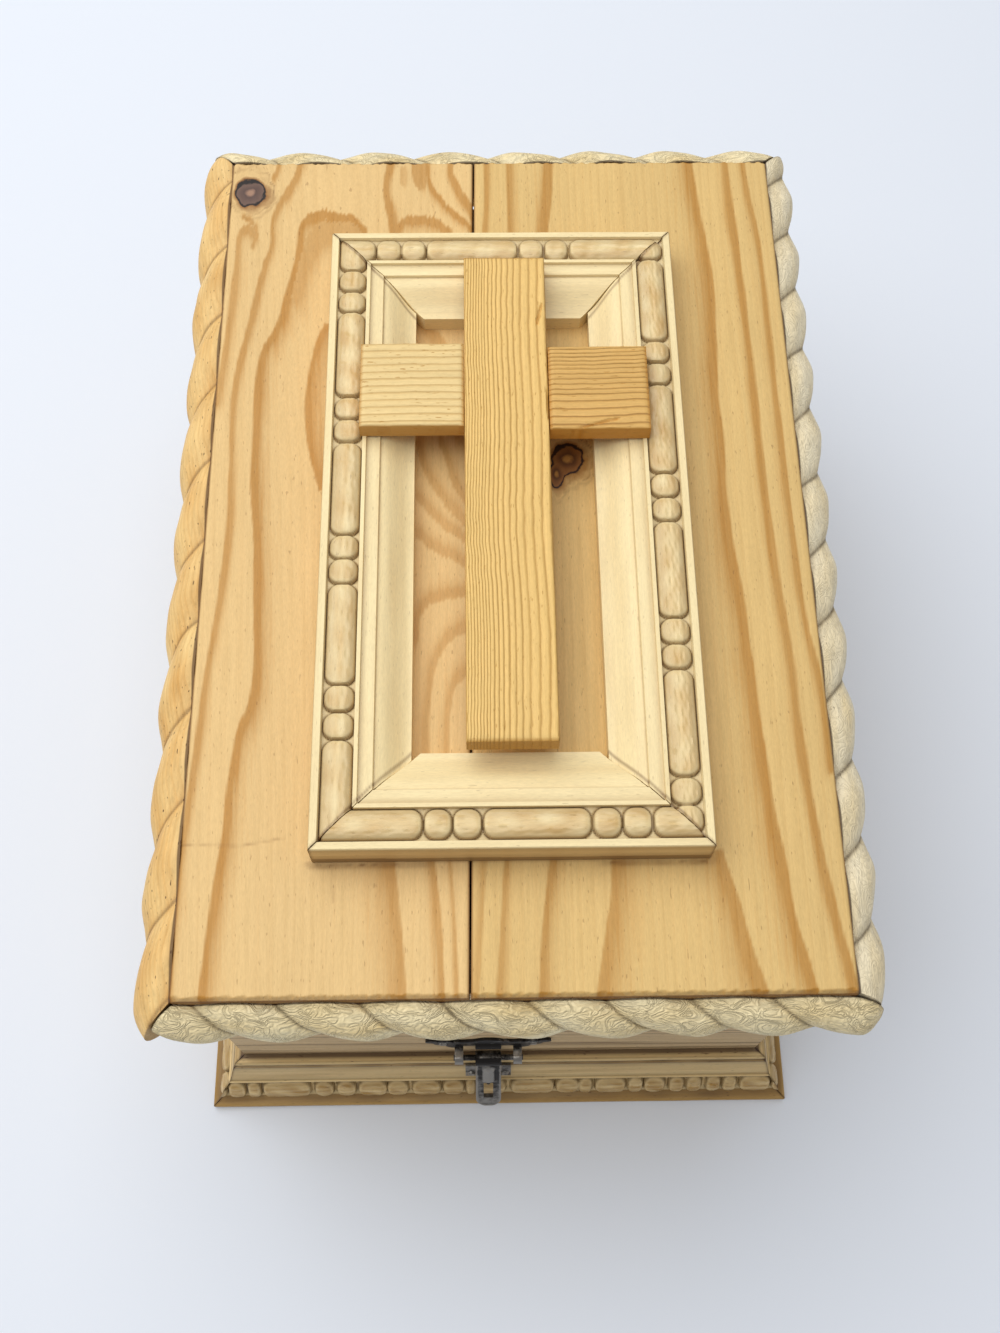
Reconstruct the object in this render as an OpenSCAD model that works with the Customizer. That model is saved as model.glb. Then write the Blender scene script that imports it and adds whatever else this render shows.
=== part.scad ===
// Wooden prayer box: a shallow tray and a deep cover that hinges up from it.
// The cover carries a two-board lid edged with rope moulding, a mitred frame of
// bead-and-barrel moulding and a plain cross, and a small hasp at the front.
// Millimetres. The origin is the centre of the underside, the hasp faces -Y.

/* [Box] */
// Width across the side walls
box_w = 178.8; // [150:0.1:240]
// Depth from the front wall to the back wall
box_d = 282.3; // [240:0.1:340]
// Thickness of the wall boards
wall_t = 12.7; // [10:0.1:16]
// Height of the cover walls, from the parting line to the lid
cover_h = 104.4; // [70:0.1:140]
// Thickness of the bottom board
bottom_t = 6.4; // [4:0.1:10]
// Dark line left open between the closed cover and the tray
seat_gap = 0.3; // [0.2:0.1:0.8]

/* [Lid boards] */
// Thickness of the lid boards
lid_t = 19; // [15:0.1:22]
// How far the lid stands out past the left wall
overhang_left = 1.3; // [0.5:0.1:8]
// How far the lid stands out past the right wall
overhang_right = 6.9; // [0.5:0.1:8]
// How far the lid stands out past the front and back walls
overhang_end = 4.7; // [1:0.1:8]
// Seam between the boards at the front edge, left of the lid's middle
seam_front = 12.3; // [4:0.1:30]
// Seam between the boards at the back edge, left of the lid's middle
seam_back = 9.4; // [4:0.1:30]
// Open seam between the two boards
seam_gap = 0.3; // [0.1:0.1:0.8]

/* [Rope moulding] */
// Radius over the strands of the front piece
rope_r_front = 9.3; // [8:0.1:12]
// Radius over the strands of the back piece
rope_r_back = 11.4; // [8:0.1:12]
// Radius over the strands of the left piece
rope_r_left = 12; // [8:0.1:12]
// Radius over the strands of the right piece
rope_r_right = 10.9; // [8:0.1:12]
// Depth of the groove between two strands
rope_groove = 2.6; // [1.5:0.1:4]
// Middle of the rope, below the top of the lid
rope_low = 12; // [10:0.1:14]
// Distance between strands on the front piece
pitch_front = 22.8; // [16:0.1:34]
// Distance between strands on the back piece
pitch_back = 26; // [16:0.1:34]
// Distance between strands on the left piece
pitch_left = 28.5; // [16:0.1:34]
// Distance between strands on the right piece
pitch_right = 24.5; // [16:0.1:34]

/* [Bead moulding] */
// Thickness of the moulding at its thick edge
mould_t = 12.7; // [10:0.1:16]
// Thickness of the moulding at its thin edge
mould_thin = 5.6; // [4:0.1:7]
// Height of the base moulding, which is also the height of the tray
base_mould_w = 28.6; // [26:0.1:36]
// Thickness of the base moulding at its foot
foot_t = 14.3; // [13:0.1:16]
// Thickness of the base moulding at its top
base_thin = 3.4; // [3:0.1:5]
// Width of the frame moulding on the left and right pieces
frame_side_w = 27.8; // [25:0.1:34]
// Width of the frame moulding on the front and back pieces
frame_end_w = 30.2; // [25:0.1:34]
// Flat lip along the thick edge
lip_w = 2.8; // [2:0.1:4]
// Width of the row of beads
bead_w = 9; // [7:0.1:10]
// Narrow fillet beside the beads, which carries the arms of the cross
fillet_w = 1.4; // [1:0.1:2.5]
// Step below the fillet, which carries the post of the cross
band_w = 4.3; // [3:0.1:5]
// Length of one barrel in the frame's left and right pieces
barrel_side_l = 32.3; // [20:0.1:40]
// Length of one barrel in the frame's front and back pieces
barrel_end_l = 30.1; // [20:0.1:40]
// Length of one barrel in the base moulding
barrel_base_l = 17; // [12:0.1:40]
// Length of one round bead
bead_l = 8.1; // [7:0.1:10]

/* [Frame on the lid] */
// Width over the frame
frame_w = 112; // [95:0.1:140]
// Depth over the frame
frame_d = 211.9; // [190:0.1:240]
// Frame's middle, left of the lid's middle
frame_left = 0.4; // [0:0.1:6]
// Frame's middle, in front of the lid's middle
frame_forward = 1.9; // [0:0.1:10]

/* [Cross] */
// Width of the post
post_w = 26; // [18:0.1:34]
// Length of the post
post_l = 167.4; // [130:0.1:175]
// Overlap of the post's far end on the frame's step
post_seat = 1.9; // [1:0.1:2.5]
// Thickness of the arms
arm_t = 6; // [4:0.1:8]
// Overlap of each arm's outer end past the frame's fillet
arm_seat = 0.6; // [0.2:0.1:2]
// Width of the arms
arm_w = 30.6; // [20:0.1:40]
// Middle of the left arm, forward of the post's far end
arm_drop = 48.8; // [35:0.1:70]
// How much further forward the right arm sits
arm_step = 1.5; // [0:0.1:4]
// Hairline between an arm and the post
arm_gap = 0.2; // [0.1:0.1:0.6]

/* [Hasp] */
// Middle of the hasp, left of the box's middle
hasp_left = 4.3; // [0:0.1:20]
// Pivot of the tongue, forward of the front wall
hasp_reach = 4.2; // [4:0.1:5]
// Width over the wings of the hasp plate
plate_w = 42; // [40:0.1:60]
// Width of the tongue
tongue_w = 8.8; // [7:0.1:10]
// Length of the tongue from its pivot
tongue_l = 32.6; // [28:0.1:38]
// Angle of the tongue from straight down, as photographed
tongue_angle = 19; // [15:0.5:30]
// Thickness of the hasp's sheet metal
hasp_t = 1.1; // [0.8:0.1:1.3]
// Radius of the hasp's knuckles
hasp_knuckle_r = 2.3; // [2:0.1:2.6]
// Radius of the hasp's pin
hasp_pin_r = 1; // [0.8:0.1:1.3]

/* [Hinges] */
// Distance of each hinge's middle from the outside of the side wall
hinge_inset = 37.4; // [30:0.1:50]
// Length of one hinge
hinge_l = 38; // [28:0.5:50]
// Wood left between a leaf's free edge and the inside of the wall
leaf_margin = 2.2; // [1:0.1:2.5]
// Thickness of a leaf
leaf_t = 1.2; // [0.9:0.1:1.6]
// Radius of the hinge's knuckles
knuckle_r = 2.3; // [2:0.1:2.8]
// Radius of the hinge pins
pin_r = 1.1; // [0.8:0.1:1.3]
// Running clearance of every knuckle that turns on its pin
pin_fit = 0.05; // [0.02:0.01:0.1]

/* [Hidden] */

// Small amount by which a cutting shape passes the faces that it cuts
over = 0.5;
// Segments of true round shapes
fine = 48;

// Heights
tray_h = base_mould_w;
cover_z = tray_h + seat_gap;
lid_z = cover_z + cover_h;
lid_top = lid_z + lid_t;

// Outer faces of the walls
wall_x = box_w / 2;
wall_y = box_d / 2;

// Lid board outline
lid_x0 = -wall_x - overhang_left;
lid_x1 = wall_x + overhang_right;
lid_y1 = wall_y + overhang_end;
lid_w = lid_x1 - lid_x0;
lid_d = 2 * lid_y1;
lid_x = (lid_x0 + lid_x1) / 2;

// Moulding section: heights off its back, and the round of its small edges
lip_t = mould_t - 0.4;
channel_t = mould_t - 3.4;
band_t = mould_t - 1;
band_foot = mould_t - 2.1;
edge_round = 0.3;
bead_r = bead_w / 2 - 0.1;
bead_axis = mould_t - bead_r;
bead_end_round = 3.4;
bead_gap = 0.2;
bead_u = lip_w + bead_w / 2;
fillet_u = lip_w + bead_w;
band_u = fillet_u + fillet_w;
slope_u = band_u + band_w;
slope_steps = 8;
// Middle of one barrel, from the middle of each piece
bead_shift_front = 7.1;
bead_shift_back = 9.6;
bead_shift_left = -8.3;
bead_shift_right = 28.8;
base_shift_front = -9;
base_shift_back = 0;
base_shift_side = 0;

// Base moulding section: its beads stand on a raked floor between the foot and a fillet,
// and two flat members lean in above them
foot_h = 2.6;
base_bead_low = 3.8;
base_bead_high = 12;
base_floor_low = foot_t - 3.7;
base_floor_high = 6.4;
base_fillet_t = 7.6;
base_fillet_h = 13.6;
base_member_t = 6.9;
base_step_h = 25.3;
base_step_in = 0.8;
base_rake = atan((base_floor_low - base_floor_high) / (base_bead_high - base_bead_low));
base_sink = bead_r - mould_t + channel_t;
base_bead_h = (base_bead_low + base_bead_high) / 2 - base_sink * sin(base_rake);
base_bead_t = (base_floor_low + base_floor_high) / 2 - base_sink * cos(base_rake);

// Frame on the lid
frame_cx = lid_x - frame_left;
frame_cy = -frame_forward;

// Cross: arms on the fillets, post on the step, all three level on top
cross_top = lid_top + mould_t + arm_t;
post_t = cross_top - lid_top - band_t;
post_right = 0.2;
post_x = lid_x + post_right;
post_y1 = frame_cy + frame_d / 2 - slope_u + post_seat;
arm_reach = frame_w / 2 - fillet_u + arm_seat;
cross_edge = 0.5;

// Rope: round strands about one centre, as many in a full turn as given here
strands = 2;
strand_fn = 18;
rope_slice = 3.6;
rope_z = lid_top - rope_low;
// One groove of each piece, from its middle towards the right of someone who faces it
groove_front = 13.7;
groove_back = 11.1;
groove_left = 16.4;
groove_right = 1.6;

// Hinges: the pins stand clear behind the back moulding
hinge_x = wall_x - hinge_inset;
hinge_stand = 2.75;
hinge_y = wall_y + base_thin + knuckle_r + hinge_stand;
hinge_z = tray_h + seat_gap / 2;
leaf_w = hinge_y - wall_y + wall_t - leaf_margin;
knuckle_gap = 0.3;
knuckle_l = (hinge_l - 2 * knuckle_gap) / 3;
middle_knuckle = [0];
outer_knuckles = [-knuckle_l - knuckle_gap, knuckle_l + knuckle_gap];
mortise_fit = 0.1;
hinge_screw_r = 1.2;
hinge_screw_head_r = 2.3;
hinge_screw_l = 10;
hinge_screw_y = wall_y - wall_t / 2;
hinge_screw_x = hinge_l * 3 / 10;

// Staple: its plate is let into the two upper members of the front base moulding
slope_angle = atan((base_member_t - base_thin) / (base_mould_w - base_fillet_h));
slope_mid_u = (base_fillet_h + base_mould_w) / 2;
slope_mid_t = (base_member_t + base_thin) / 2;
seat_sink = 0.5;
seat_room = 4;
staple_w = 16;
staple_h = 9.4;
staple_t = 1;
staple_wire = 0.8;
staple_bend = 1.7;
staple_leg = 2.4;
// Where along the staple the closed tongue lies, as a share of its height
staple_share = 0.6;
staple_mid = staple_share * (staple_t + staple_leg + staple_bend + staple_wire);
staple_y = seat_sink - wall_y - slope_mid_t - staple_mid * cos(slope_angle);
staple_z = slope_mid_u + staple_mid * sin(slope_angle);
staple_screw_x = 5.9;
staple_screw_y = 2;
staple_screw_l = 4;

// Tongue: sheet metal, with a slot that drops over the staple
tongue_back = 0.6;
tongue_front = tongue_back + hasp_t;
slot_w = 3.3;
slot_l = 11;
slot_end = 6;
slot_mid = tongue_l - slot_end - slot_l / 2;
ridge_r = 2.5;
ridge_rise = 0.8;
ridge_top = 4.6;
ridge_gap = 1;
ridge_bottom = tongue_l - slot_end - slot_l - ridge_gap;

// Pivot of the tongue: as high above the staple as the slot's middle is along the tongue
pivot_y = -wall_y - hasp_reach;
pivot_z = staple_z + sqrt(slot_mid * slot_mid - (pivot_y - staple_y) * (pivot_y - staple_y));
ear_w = 2.9;
ear_x = 8.5;
ear_web = 1.1;
pin_end = 0.4;

// Hasp plate: round lobes about the pivot, and the nails in its wings
plate_t = 1;
plate_foot = 0.2;
plate_head = 12.2;
barrel_room = 4.4;
crown_z = 9.5;
crown_r = 5.5;
lobe_x = ear_x + 1.2;
lobe_z = 5;
lobe_r = 4.6;
eye_z = 6.2;
eye_r = 1.3;
scoop_x = 8.3;
scoop_z = 14.4;
scoop_r = 2.9;
wing_z = 9.8;
wing_r = 3.6;
wing_bar = 3;
tip_z = 12.2;
tip_r = 2.1;
bay_x = plate_w / 2 - 1;
bay_z = 8.4;
bay_r = 1.9;
nail_x = plate_w / 2 - 5.9;
nail_r = 0.8;
nail_head_r = 1.4;
nail_head_h = 0.6;
nail_l = 8;
// Radius at the top of a nail's head, as a share of the radius at its foot
nail_crown = 0.8;

// Wall boards of the tray and the cover: the front and back run the full width
module end_wall(side, z, h) {
    translate([-wall_x, side * wall_y - (side > 0 ? wall_t : 0), z]) cube([box_w, wall_t, h]);
}

module side_wall(side, z, h) {
    translate([side * wall_x - (side > 0 ? wall_t : 0), wall_t - wall_y, z])
        cube([wall_t, box_d - 2 * wall_t, h]);
}

// Points of the sloping face, a slow S from the step down to the thin edge
function slope_points(w) = [
    for (i = [0 : slope_steps])
        [
            slope_u + (w - slope_u) * i / slope_steps,
            band_foot - (band_foot - mould_thin) * (1 - cos(180 * i / slope_steps)) / 2
        ]
];

// Moulding section, thick edge at x = 0 and back on y = 0
module moulding_section(w) {
    polygon(concat(
        [
            [0, 0],
            [0, lip_t - edge_round],
            [edge_round, lip_t],
            [lip_w - edge_round, lip_t],
            [lip_w, lip_t - edge_round],
            [lip_w, channel_t],
            [fillet_u, channel_t],
            [fillet_u, mould_t],
            [band_u, mould_t],
            [band_u, band_t],
            [slope_u - edge_round, band_t],
            [slope_u, band_t - edge_round]
        ],
        slope_points(w),
        [[w, 0]]
    ));
}

// One bead or barrel about the X axis, centred, with rounded ends
module bead(l) {
    end_round = min(bead_end_round, bead_r - 0.5, l / 2 - 0.2);
    straight = l - 2 * end_round;
    core_r = bead_r - end_round;
    rotate([0, 90, 0]) rotate_extrude($fn = fine) {
        translate([0, -l / 2]) square([core_r, l]);
        translate([0, -straight / 2]) square([bead_r, straight]);
        for (s = [-1, 1])
            intersection() {
                translate([core_r, s * straight / 2]) circle(end_round, $fn = fine);
                translate([0, -l]) square([bead_r + over, 2 * l]);
            }
    }
}

// Row of beads along X: one barrel and two beads, again and again. Beads that would start
// beyond reach, where the mitre has taken the wood under them, are left out.
module bead_row(reach, barrel_l, shift) {
    step = bead_l + bead_gap;
    pitch = barrel_l + bead_gap + 2 * step;
    first = (barrel_l + bead_l) / 2 + bead_gap;
    row = [[0, barrel_l], [first, bead_l], [first + step, bead_l]];
    for (i = [-ceil((reach + shift) / pitch) - 1 : ceil((reach - shift) / pitch)])
        for (b = row) {
            x = i * pitch + shift + b[0];
            if (abs(x) - b[1] / 2 < reach - bead_gap) translate([x, 0, 0]) bead(b[1]);
        }
}

// Moulding along X, flat on its back: its thick edge on y = 0, the rest towards +Y
module moulding(l, w, reach, barrel_l, shift) {
    translate([-l / 2, 0, 0]) rotate([90, 0, 90]) linear_extrude(l) moulding_section(w);
    translate([0, bead_u, bead_axis]) bead_row(reach, barrel_l, shift);
}

// Piece of the frame on the lid: the mitre runs across the moulding's width
module frame_piece(l, w, mitre_run, barrel_l, shift) {
    color("wheat") intersection() {
        moulding(l, w, l / 2, barrel_l, shift);
        linear_extrude(mould_t + over)
            polygon([[-l / 2, 0], [l / 2, 0], [l / 2 - mitre_run, w], [mitre_run - l / 2, w]]);
    }
}

// Base moulding section, foot at x = 0 and back on y = 0
module base_section() {
    member = (base_member_t - base_thin) / (base_mould_w - base_fillet_h);
    step_t = base_member_t - member * (base_step_h - base_fillet_h);
    polygon([
        [0, 0],
        [0, foot_t - edge_round],
        [edge_round, foot_t],
        [foot_h, foot_t],
        [base_bead_low, base_floor_low],
        [base_bead_high, base_floor_high],
        [base_bead_high, base_fillet_t],
        [base_fillet_h, base_fillet_t],
        [base_fillet_h, base_member_t],
        [base_step_h, step_t],
        [base_step_h, step_t - base_step_in],
        [base_mould_w, base_thin],
        [base_mould_w, 0]
    ]);
}

// Piece of the base moulding: it stands on its foot with its back to a wall,
// and the mitre runs through the moulding's thickness
module base_piece(l, shift) {
    deep = foot_t + over;
    rotate([90, 0, 0]) intersection() {
        union() {
            translate([-l / 2 - foot_t, 0, 0])
                rotate([90, 0, 90]) linear_extrude(l + 2 * foot_t) base_section();
            translate([0, base_bead_h, base_bead_t])
                bead_row(l / 2 + base_floor_high, barrel_base_l, shift);
        }
        translate([0, base_mould_w, 0]) rotate([90, 0, 0]) linear_extrude(base_mould_w)
            polygon([[-l / 2, 0], [l / 2, 0], [l / 2 + deep, deep], [-l / 2 - deep, deep]]);
    }
}

// Distance of a strand's centre from the rope's, so that both radii come out
function strand_offset(r) =
    (r * r - pow(r - rope_groove, 2)) / (2 * (r - (r - rope_groove) * cos(180 / strands)));

// Rope moulding along X: flat back on y = 0, mitred at both ends, strands towards -Y
module rope(l, r, pitch, groove_x) {
    full = l + 2 * r;
    lead = strands * pitch;
    deep = r + over;
    offset_r = strand_offset(r);
    // Turns the section so that a groove faces outwards at groove_x
    phase = -90 - 180 / strands - 360 * (groove_x + full / 2) / lead;
    color("cornsilk") intersection() {
        translate([-full / 2, 0, 0]) rotate([0, 90, 0])
            linear_extrude(full, twist = -360 * full / lead, slices = ceil(full / rope_slice))
                rotate(phase)
                    for (i = [0 : strands - 1])
                        rotate(i * 360 / strands)
                            translate([offset_r, 0]) circle(r - offset_r, $fn = strand_fn);
        translate([0, 0, -deep]) linear_extrude(2 * deep)
            polygon([[-l / 2, 0], [l / 2, 0], [l / 2 + deep, -deep], [-l / 2 - deep, -deep]]);
    }
}

// Sawn strip along Y with eased long edges, its far end at the origin and its top at z = 0
module strip(w, l, t) {
    e = cross_edge;
    rotate([90, 0, 0]) linear_extrude(l)
        polygon([
            [-w / 2, -t], [w / 2, -t],
            [w / 2, -e], [w / 2 - e, 0],
            [e - w / 2, 0], [-w / 2, -e]
        ]);
}

// Countersunk screw along +Z: its flat face on z = 0, the shank upwards
module flat_screw() {
    cylinder(leaf_t, hinge_screw_head_r, hinge_screw_r, $fn = fine);
    cylinder(hinge_screw_l, r = hinge_screw_r, $fn = fine);
}

// Screw places of both hinges
module at_hinge_screws() {
    for (side = [-1, 1])
        for (k = [-1, 1])
            translate([side * hinge_x + k * hinge_screw_x, hinge_screw_y, 0]) children();
}

module lower_screws() {
    at_hinge_screws() translate([0, 0, tray_h]) mirror([0, 0, 1]) flat_screw();
}

module upper_screws() {
    at_hinge_screws() translate([0, 0, cover_z]) flat_screw();
}

// Recesses that take the leaves of both hinges, from the given height upwards
module leaf_recesses(z) {
    for (side = [-1, 1])
        translate([side * hinge_x - hinge_l / 2 - mortise_fit, hinge_y - leaf_w - mortise_fit, z])
            cube([hinge_l + 2 * mortise_fit, leaf_w, leaf_t + over]);
}

// One knuckle of a hinge, from -l/2 to l/2 along X
module knuckle(l, r) {
    rotate([0, 90, 0]) cylinder(l, r = r, center = true, $fn = fine);
}

// Hinge leaf: z is its lower face, and places lists the middles of its knuckles
module hinge_leaf(side, z, places, free_places, bore_r) {
    translate([side * hinge_x, 0, 0]) difference() {
        union() {
            translate([-hinge_l / 2, hinge_y - leaf_w, z]) cube([hinge_l, leaf_w, leaf_t]);
            for (x = places) translate([x, hinge_y, hinge_z]) knuckle(knuckle_l, knuckle_r);
        }
        for (x = free_places)
            translate([x, hinge_y, hinge_z])
                knuckle(knuckle_l + 2 * knuckle_gap, knuckle_r + knuckle_gap);
        translate([0, hinge_y, hinge_z]) knuckle(hinge_l + over, bore_r);
    }
}

// Places on the front of the box that belong to the hasp
module at_pivot() {
    translate([-hasp_left, pivot_y, pivot_z]) children();
}

module on_slope() {
    translate([-hasp_left, seat_sink - wall_y - slope_mid_t, slope_mid_u])
        rotate([90 - slope_angle, 0, 0]) children();
}

module at_staple_screws() {
    for (k = [-1, 1]) translate([k * staple_screw_x, -staple_screw_y, 0]) children();
}

// Pan-head screw or nail along -Z: the head's underside on z = 0
module nail(r, head_r, l) {
    translate([0, 0, -l]) cylinder(l, r = r, $fn = fine);
    cylinder(nail_head_h, head_r, head_r * nail_crown, $fn = fine);
}

module base_bottom() {
    color("burlywood")
        translate([wall_t - wall_x, wall_t - wall_y, 0])
            cube([box_w - 2 * wall_t, box_d - 2 * wall_t, bottom_t]);
}

module tray_wall_front() {
    color("burlywood") end_wall(-1, 0, tray_h);
}

module tray_wall_back() {
    color("burlywood") difference() {
        end_wall(1, 0, tray_h);
        leaf_recesses(tray_h - leaf_t);
        lower_screws();
    }
}

module tray_wall_left() {
    color("burlywood") side_wall(-1, 0, tray_h);
}

module tray_wall_right() {
    color("burlywood") side_wall(1, 0, tray_h);
}

module base_moulding_front() {
    color("tan") difference() {
        translate([0, -wall_y, 0]) base_piece(box_w, base_shift_front);
        on_slope() {
            translate([-staple_w / 2 - mortise_fit, -staple_h / 2 - mortise_fit, 0])
                cube([staple_w + 2 * mortise_fit, staple_h + 2 * mortise_fit, seat_room]);
            at_staple_screws() nail(nail_r, nail_head_r, staple_screw_l);
        }
    }
}

module base_moulding_back() {
    color("tan") difference() {
        rotate(180) translate([0, -wall_y, 0]) base_piece(box_w, base_shift_back);
        leaf_recesses(tray_h - leaf_t);
    }
}

module base_moulding_left() {
    color("tan") rotate(-90) translate([0, -wall_x, 0]) base_piece(box_d, base_shift_side);
}

module base_moulding_right() {
    color("tan") rotate(90) translate([0, -wall_x, 0]) base_piece(box_d, base_shift_side);
}

// Plate with the staple, a bent wire loop that passes through the tongue's slot
module staple_plate() {
    color("dimgray") on_slope() {
        difference() {
            translate([-staple_w / 2, -staple_h / 2, 0]) cube([staple_w, staple_h, staple_t]);
            at_staple_screws() translate([0, 0, staple_t]) nail(nail_r, nail_r, staple_t + over);
        }
        for (s = [-1, 1])
            translate([0, s * staple_bend, staple_t / 2])
                cylinder(staple_t / 2 + staple_leg, r = staple_wire, $fn = fine);
        translate([0, 0, staple_t + staple_leg]) rotate([90, 0, 90])
            rotate_extrude(angle = 180, $fn = fine)
                translate([staple_bend, 0]) circle(staple_wire, $fn = fine);
    }
}

module staple_screws() {
    color("gray") on_slope() at_staple_screws()
        translate([0, 0, staple_t]) nail(nail_r, nail_head_r, staple_t + staple_screw_l);
}

module hinge_lower_leaf_left() {
    color("darkgoldenrod") difference() {
        hinge_leaf(-1, tray_h - leaf_t, middle_knuckle, outer_knuckles, pin_r);
        lower_screws();
    }
}

module hinge_lower_leaf_right() {
    color("darkgoldenrod") difference() {
        hinge_leaf(1, tray_h - leaf_t, middle_knuckle, outer_knuckles, pin_r);
        lower_screws();
    }
}

module hinge_pin(side) {
    translate([side * hinge_x, hinge_y, hinge_z]) knuckle(hinge_l + 2 * pin_end, pin_r);
}

module hinge_pin_left() {
    color("goldenrod") hinge_pin(-1);
}

module hinge_pin_right() {
    color("goldenrod") hinge_pin(1);
}

module hinge_screws_lower() {
    color("goldenrod") lower_screws();
}

module cover_wall_front() {
    color("burlywood") difference() {
        end_wall(-1, cover_z, cover_h);
        at_pivot() at_nails() nail(nail_r, nail_r, nail_l);
    }
}

module cover_wall_back() {
    color("burlywood") difference() {
        end_wall(1, cover_z, cover_h);
        leaf_recesses(cover_z - over);
        upper_screws();
    }
}

module cover_wall_left() {
    color("burlywood") side_wall(-1, cover_z, cover_h);
}

module cover_wall_right() {
    color("burlywood") side_wall(1, cover_z, cover_h);
}

module lid_board_left() {
    color("navajowhite") translate([0, 0, lid_z]) linear_extrude(lid_t)
        polygon([
            [lid_x0, -lid_y1], [lid_x - seam_front - seam_gap / 2, -lid_y1],
            [lid_x - seam_back - seam_gap / 2, lid_y1], [lid_x0, lid_y1]
        ]);
}

module lid_board_right() {
    color("navajowhite") translate([0, 0, lid_z]) linear_extrude(lid_t)
        polygon([
            [lid_x - seam_front + seam_gap / 2, -lid_y1], [lid_x1, -lid_y1],
            [lid_x1, lid_y1], [lid_x - seam_back + seam_gap / 2, lid_y1]
        ]);
}

module rope_front() {
    translate([lid_x, -lid_y1, rope_z]) rope(lid_w, rope_r_front, pitch_front, groove_front);
}

module rope_back() {
    translate([lid_x, lid_y1, rope_z]) rotate(180)
        rope(lid_w, rope_r_back, pitch_back, groove_back);
}

module rope_left() {
    translate([lid_x0, 0, rope_z]) rotate(-90)
        rope(lid_d, rope_r_left, pitch_left, groove_left);
}

module rope_right() {
    translate([lid_x1, 0, rope_z]) rotate(90)
        rope(lid_d, rope_r_right, pitch_right, groove_right);
}

module frame_front() {
    translate([frame_cx, frame_cy - frame_d / 2, lid_top])
        frame_piece(frame_w, frame_end_w, frame_side_w, barrel_end_l, bead_shift_front);
}

module frame_back() {
    translate([frame_cx, frame_cy + frame_d / 2, lid_top]) rotate(180)
        frame_piece(frame_w, frame_end_w, frame_side_w, barrel_end_l, bead_shift_back);
}

module frame_left() {
    translate([frame_cx - frame_w / 2, frame_cy, lid_top]) rotate(-90)
        frame_piece(frame_d, frame_side_w, frame_end_w, barrel_side_l, bead_shift_left);
}

module frame_right() {
    translate([frame_cx + frame_w / 2, frame_cy, lid_top]) rotate(90)
        frame_piece(frame_d, frame_side_w, frame_end_w, barrel_side_l, bead_shift_right);
}

module cross_post() {
    color("sandybrown") translate([post_x, post_y1, cross_top]) strip(post_w, post_l, post_t);
}

// Arm of the cross: from beside the post out to just past the frame's fillet
module cross_arm(side, y) {
    inner = post_x + side * (post_w / 2 + arm_gap);
    outer = frame_cx + side * arm_reach;
    color("sandybrown") translate([inner, y, cross_top]) rotate(side * 90)
        strip(arm_w, abs(outer - inner), arm_t);
}

module cross_arm_left() {
    cross_arm(-1, post_y1 - arm_drop);
}

module cross_arm_right() {
    cross_arm(1, post_y1 - arm_drop - arm_step);
}

module hinge_upper_leaf_left() {
    color("darkgoldenrod") difference() {
        hinge_leaf(-1, cover_z, outer_knuckles, middle_knuckle, pin_r + pin_fit);
        upper_screws();
    }
}

module hinge_upper_leaf_right() {
    color("darkgoldenrod") difference() {
        hinge_leaf(1, cover_z, outer_knuckles, middle_knuckle, pin_r + pin_fit);
        upper_screws();
    }
}

module hinge_screws_upper() {
    color("goldenrod") upper_screws();
}

// Nails through the wings of the hasp plate, driven towards +Y
module at_nails() {
    for (k = [-1, 1])
        translate([k * nail_x, hasp_reach - plate_t, wing_z]) rotate([90, 0, 0]) children();
}

// Outline of the hasp plate about the pivot: a straight middle, a crown and two pierced wings
module plate_outline() {
    half = ear_x + ear_w;
    difference() {
        union() {
            translate([-half, plate_foot]) square([2 * half, plate_head - plate_foot]);
            translate([0, crown_z]) circle(crown_r, $fn = fine);
            translate([-nail_x, wing_z - wing_bar / 2]) square([2 * nail_x, wing_bar]);
            for (s = [-1, 1]) {
                translate([s * lobe_x, lobe_z]) circle(lobe_r, $fn = fine);
                translate([s * nail_x, wing_z]) circle(wing_r, $fn = fine);
                translate([s * (plate_w / 2 - tip_r), tip_z]) circle(tip_r, $fn = fine);
            }
        }
        for (s = [-1, 1]) {
            translate([s * bay_x, bay_z]) circle(bay_r, $fn = fine);
            translate([s * lobe_x, eye_z]) circle(eye_r, $fn = fine);
            translate([s * scoop_x, scoop_z]) circle(scoop_r, $fn = fine);
        }
        translate([-ear_x, -over]) square([2 * ear_x, barrel_room + over]);
    }
}

module hasp_plate() {
    color("dimgray") at_pivot() difference() {
        union() {
            translate([0, hasp_reach, 0]) rotate([90, 0, 0]) linear_extrude(plate_t) plate_outline();
            for (s = [-1, 1])
                translate([s * (ear_x + ear_w / 2), 0, 0]) {
                    knuckle(ear_w, hasp_knuckle_r);
                    translate([-ear_w / 2, 0, hasp_knuckle_r - ear_web])
                        cube([ear_w, hasp_reach, ear_web]);
                }
        }
        knuckle(2 * (ear_x + ear_w + over), hasp_pin_r);
        at_nails() nail(nail_r, nail_r, plate_t + over);
    }
}

module hasp_pin() {
    color("gray") at_pivot() knuckle(2 * (ear_x + ear_w + pin_end), hasp_pin_r);
}

module hasp_nails() {
    color("gray") at_pivot() at_nails() nail(nail_r, nail_head_r, nail_l);
}

// Outline of the tongue, hanging straight down from the pivot
module tongue_outline() {
    tip = tongue_w / 2;
    difference() {
        union() {
            translate([-tip, tip - tongue_l]) square([tongue_w, tongue_l - tip]);
            translate([0, tip - tongue_l]) circle(tip, $fn = fine);
        }
        translate([0, slot_end - tongue_l]) {
            translate([-slot_w / 2, slot_w / 2]) square([slot_w, slot_l - slot_w]);
            for (z = [slot_w / 2, slot_l - slot_w / 2])
                translate([0, z]) circle(slot_w / 2, $fn = fine);
        }
    }
}

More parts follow.
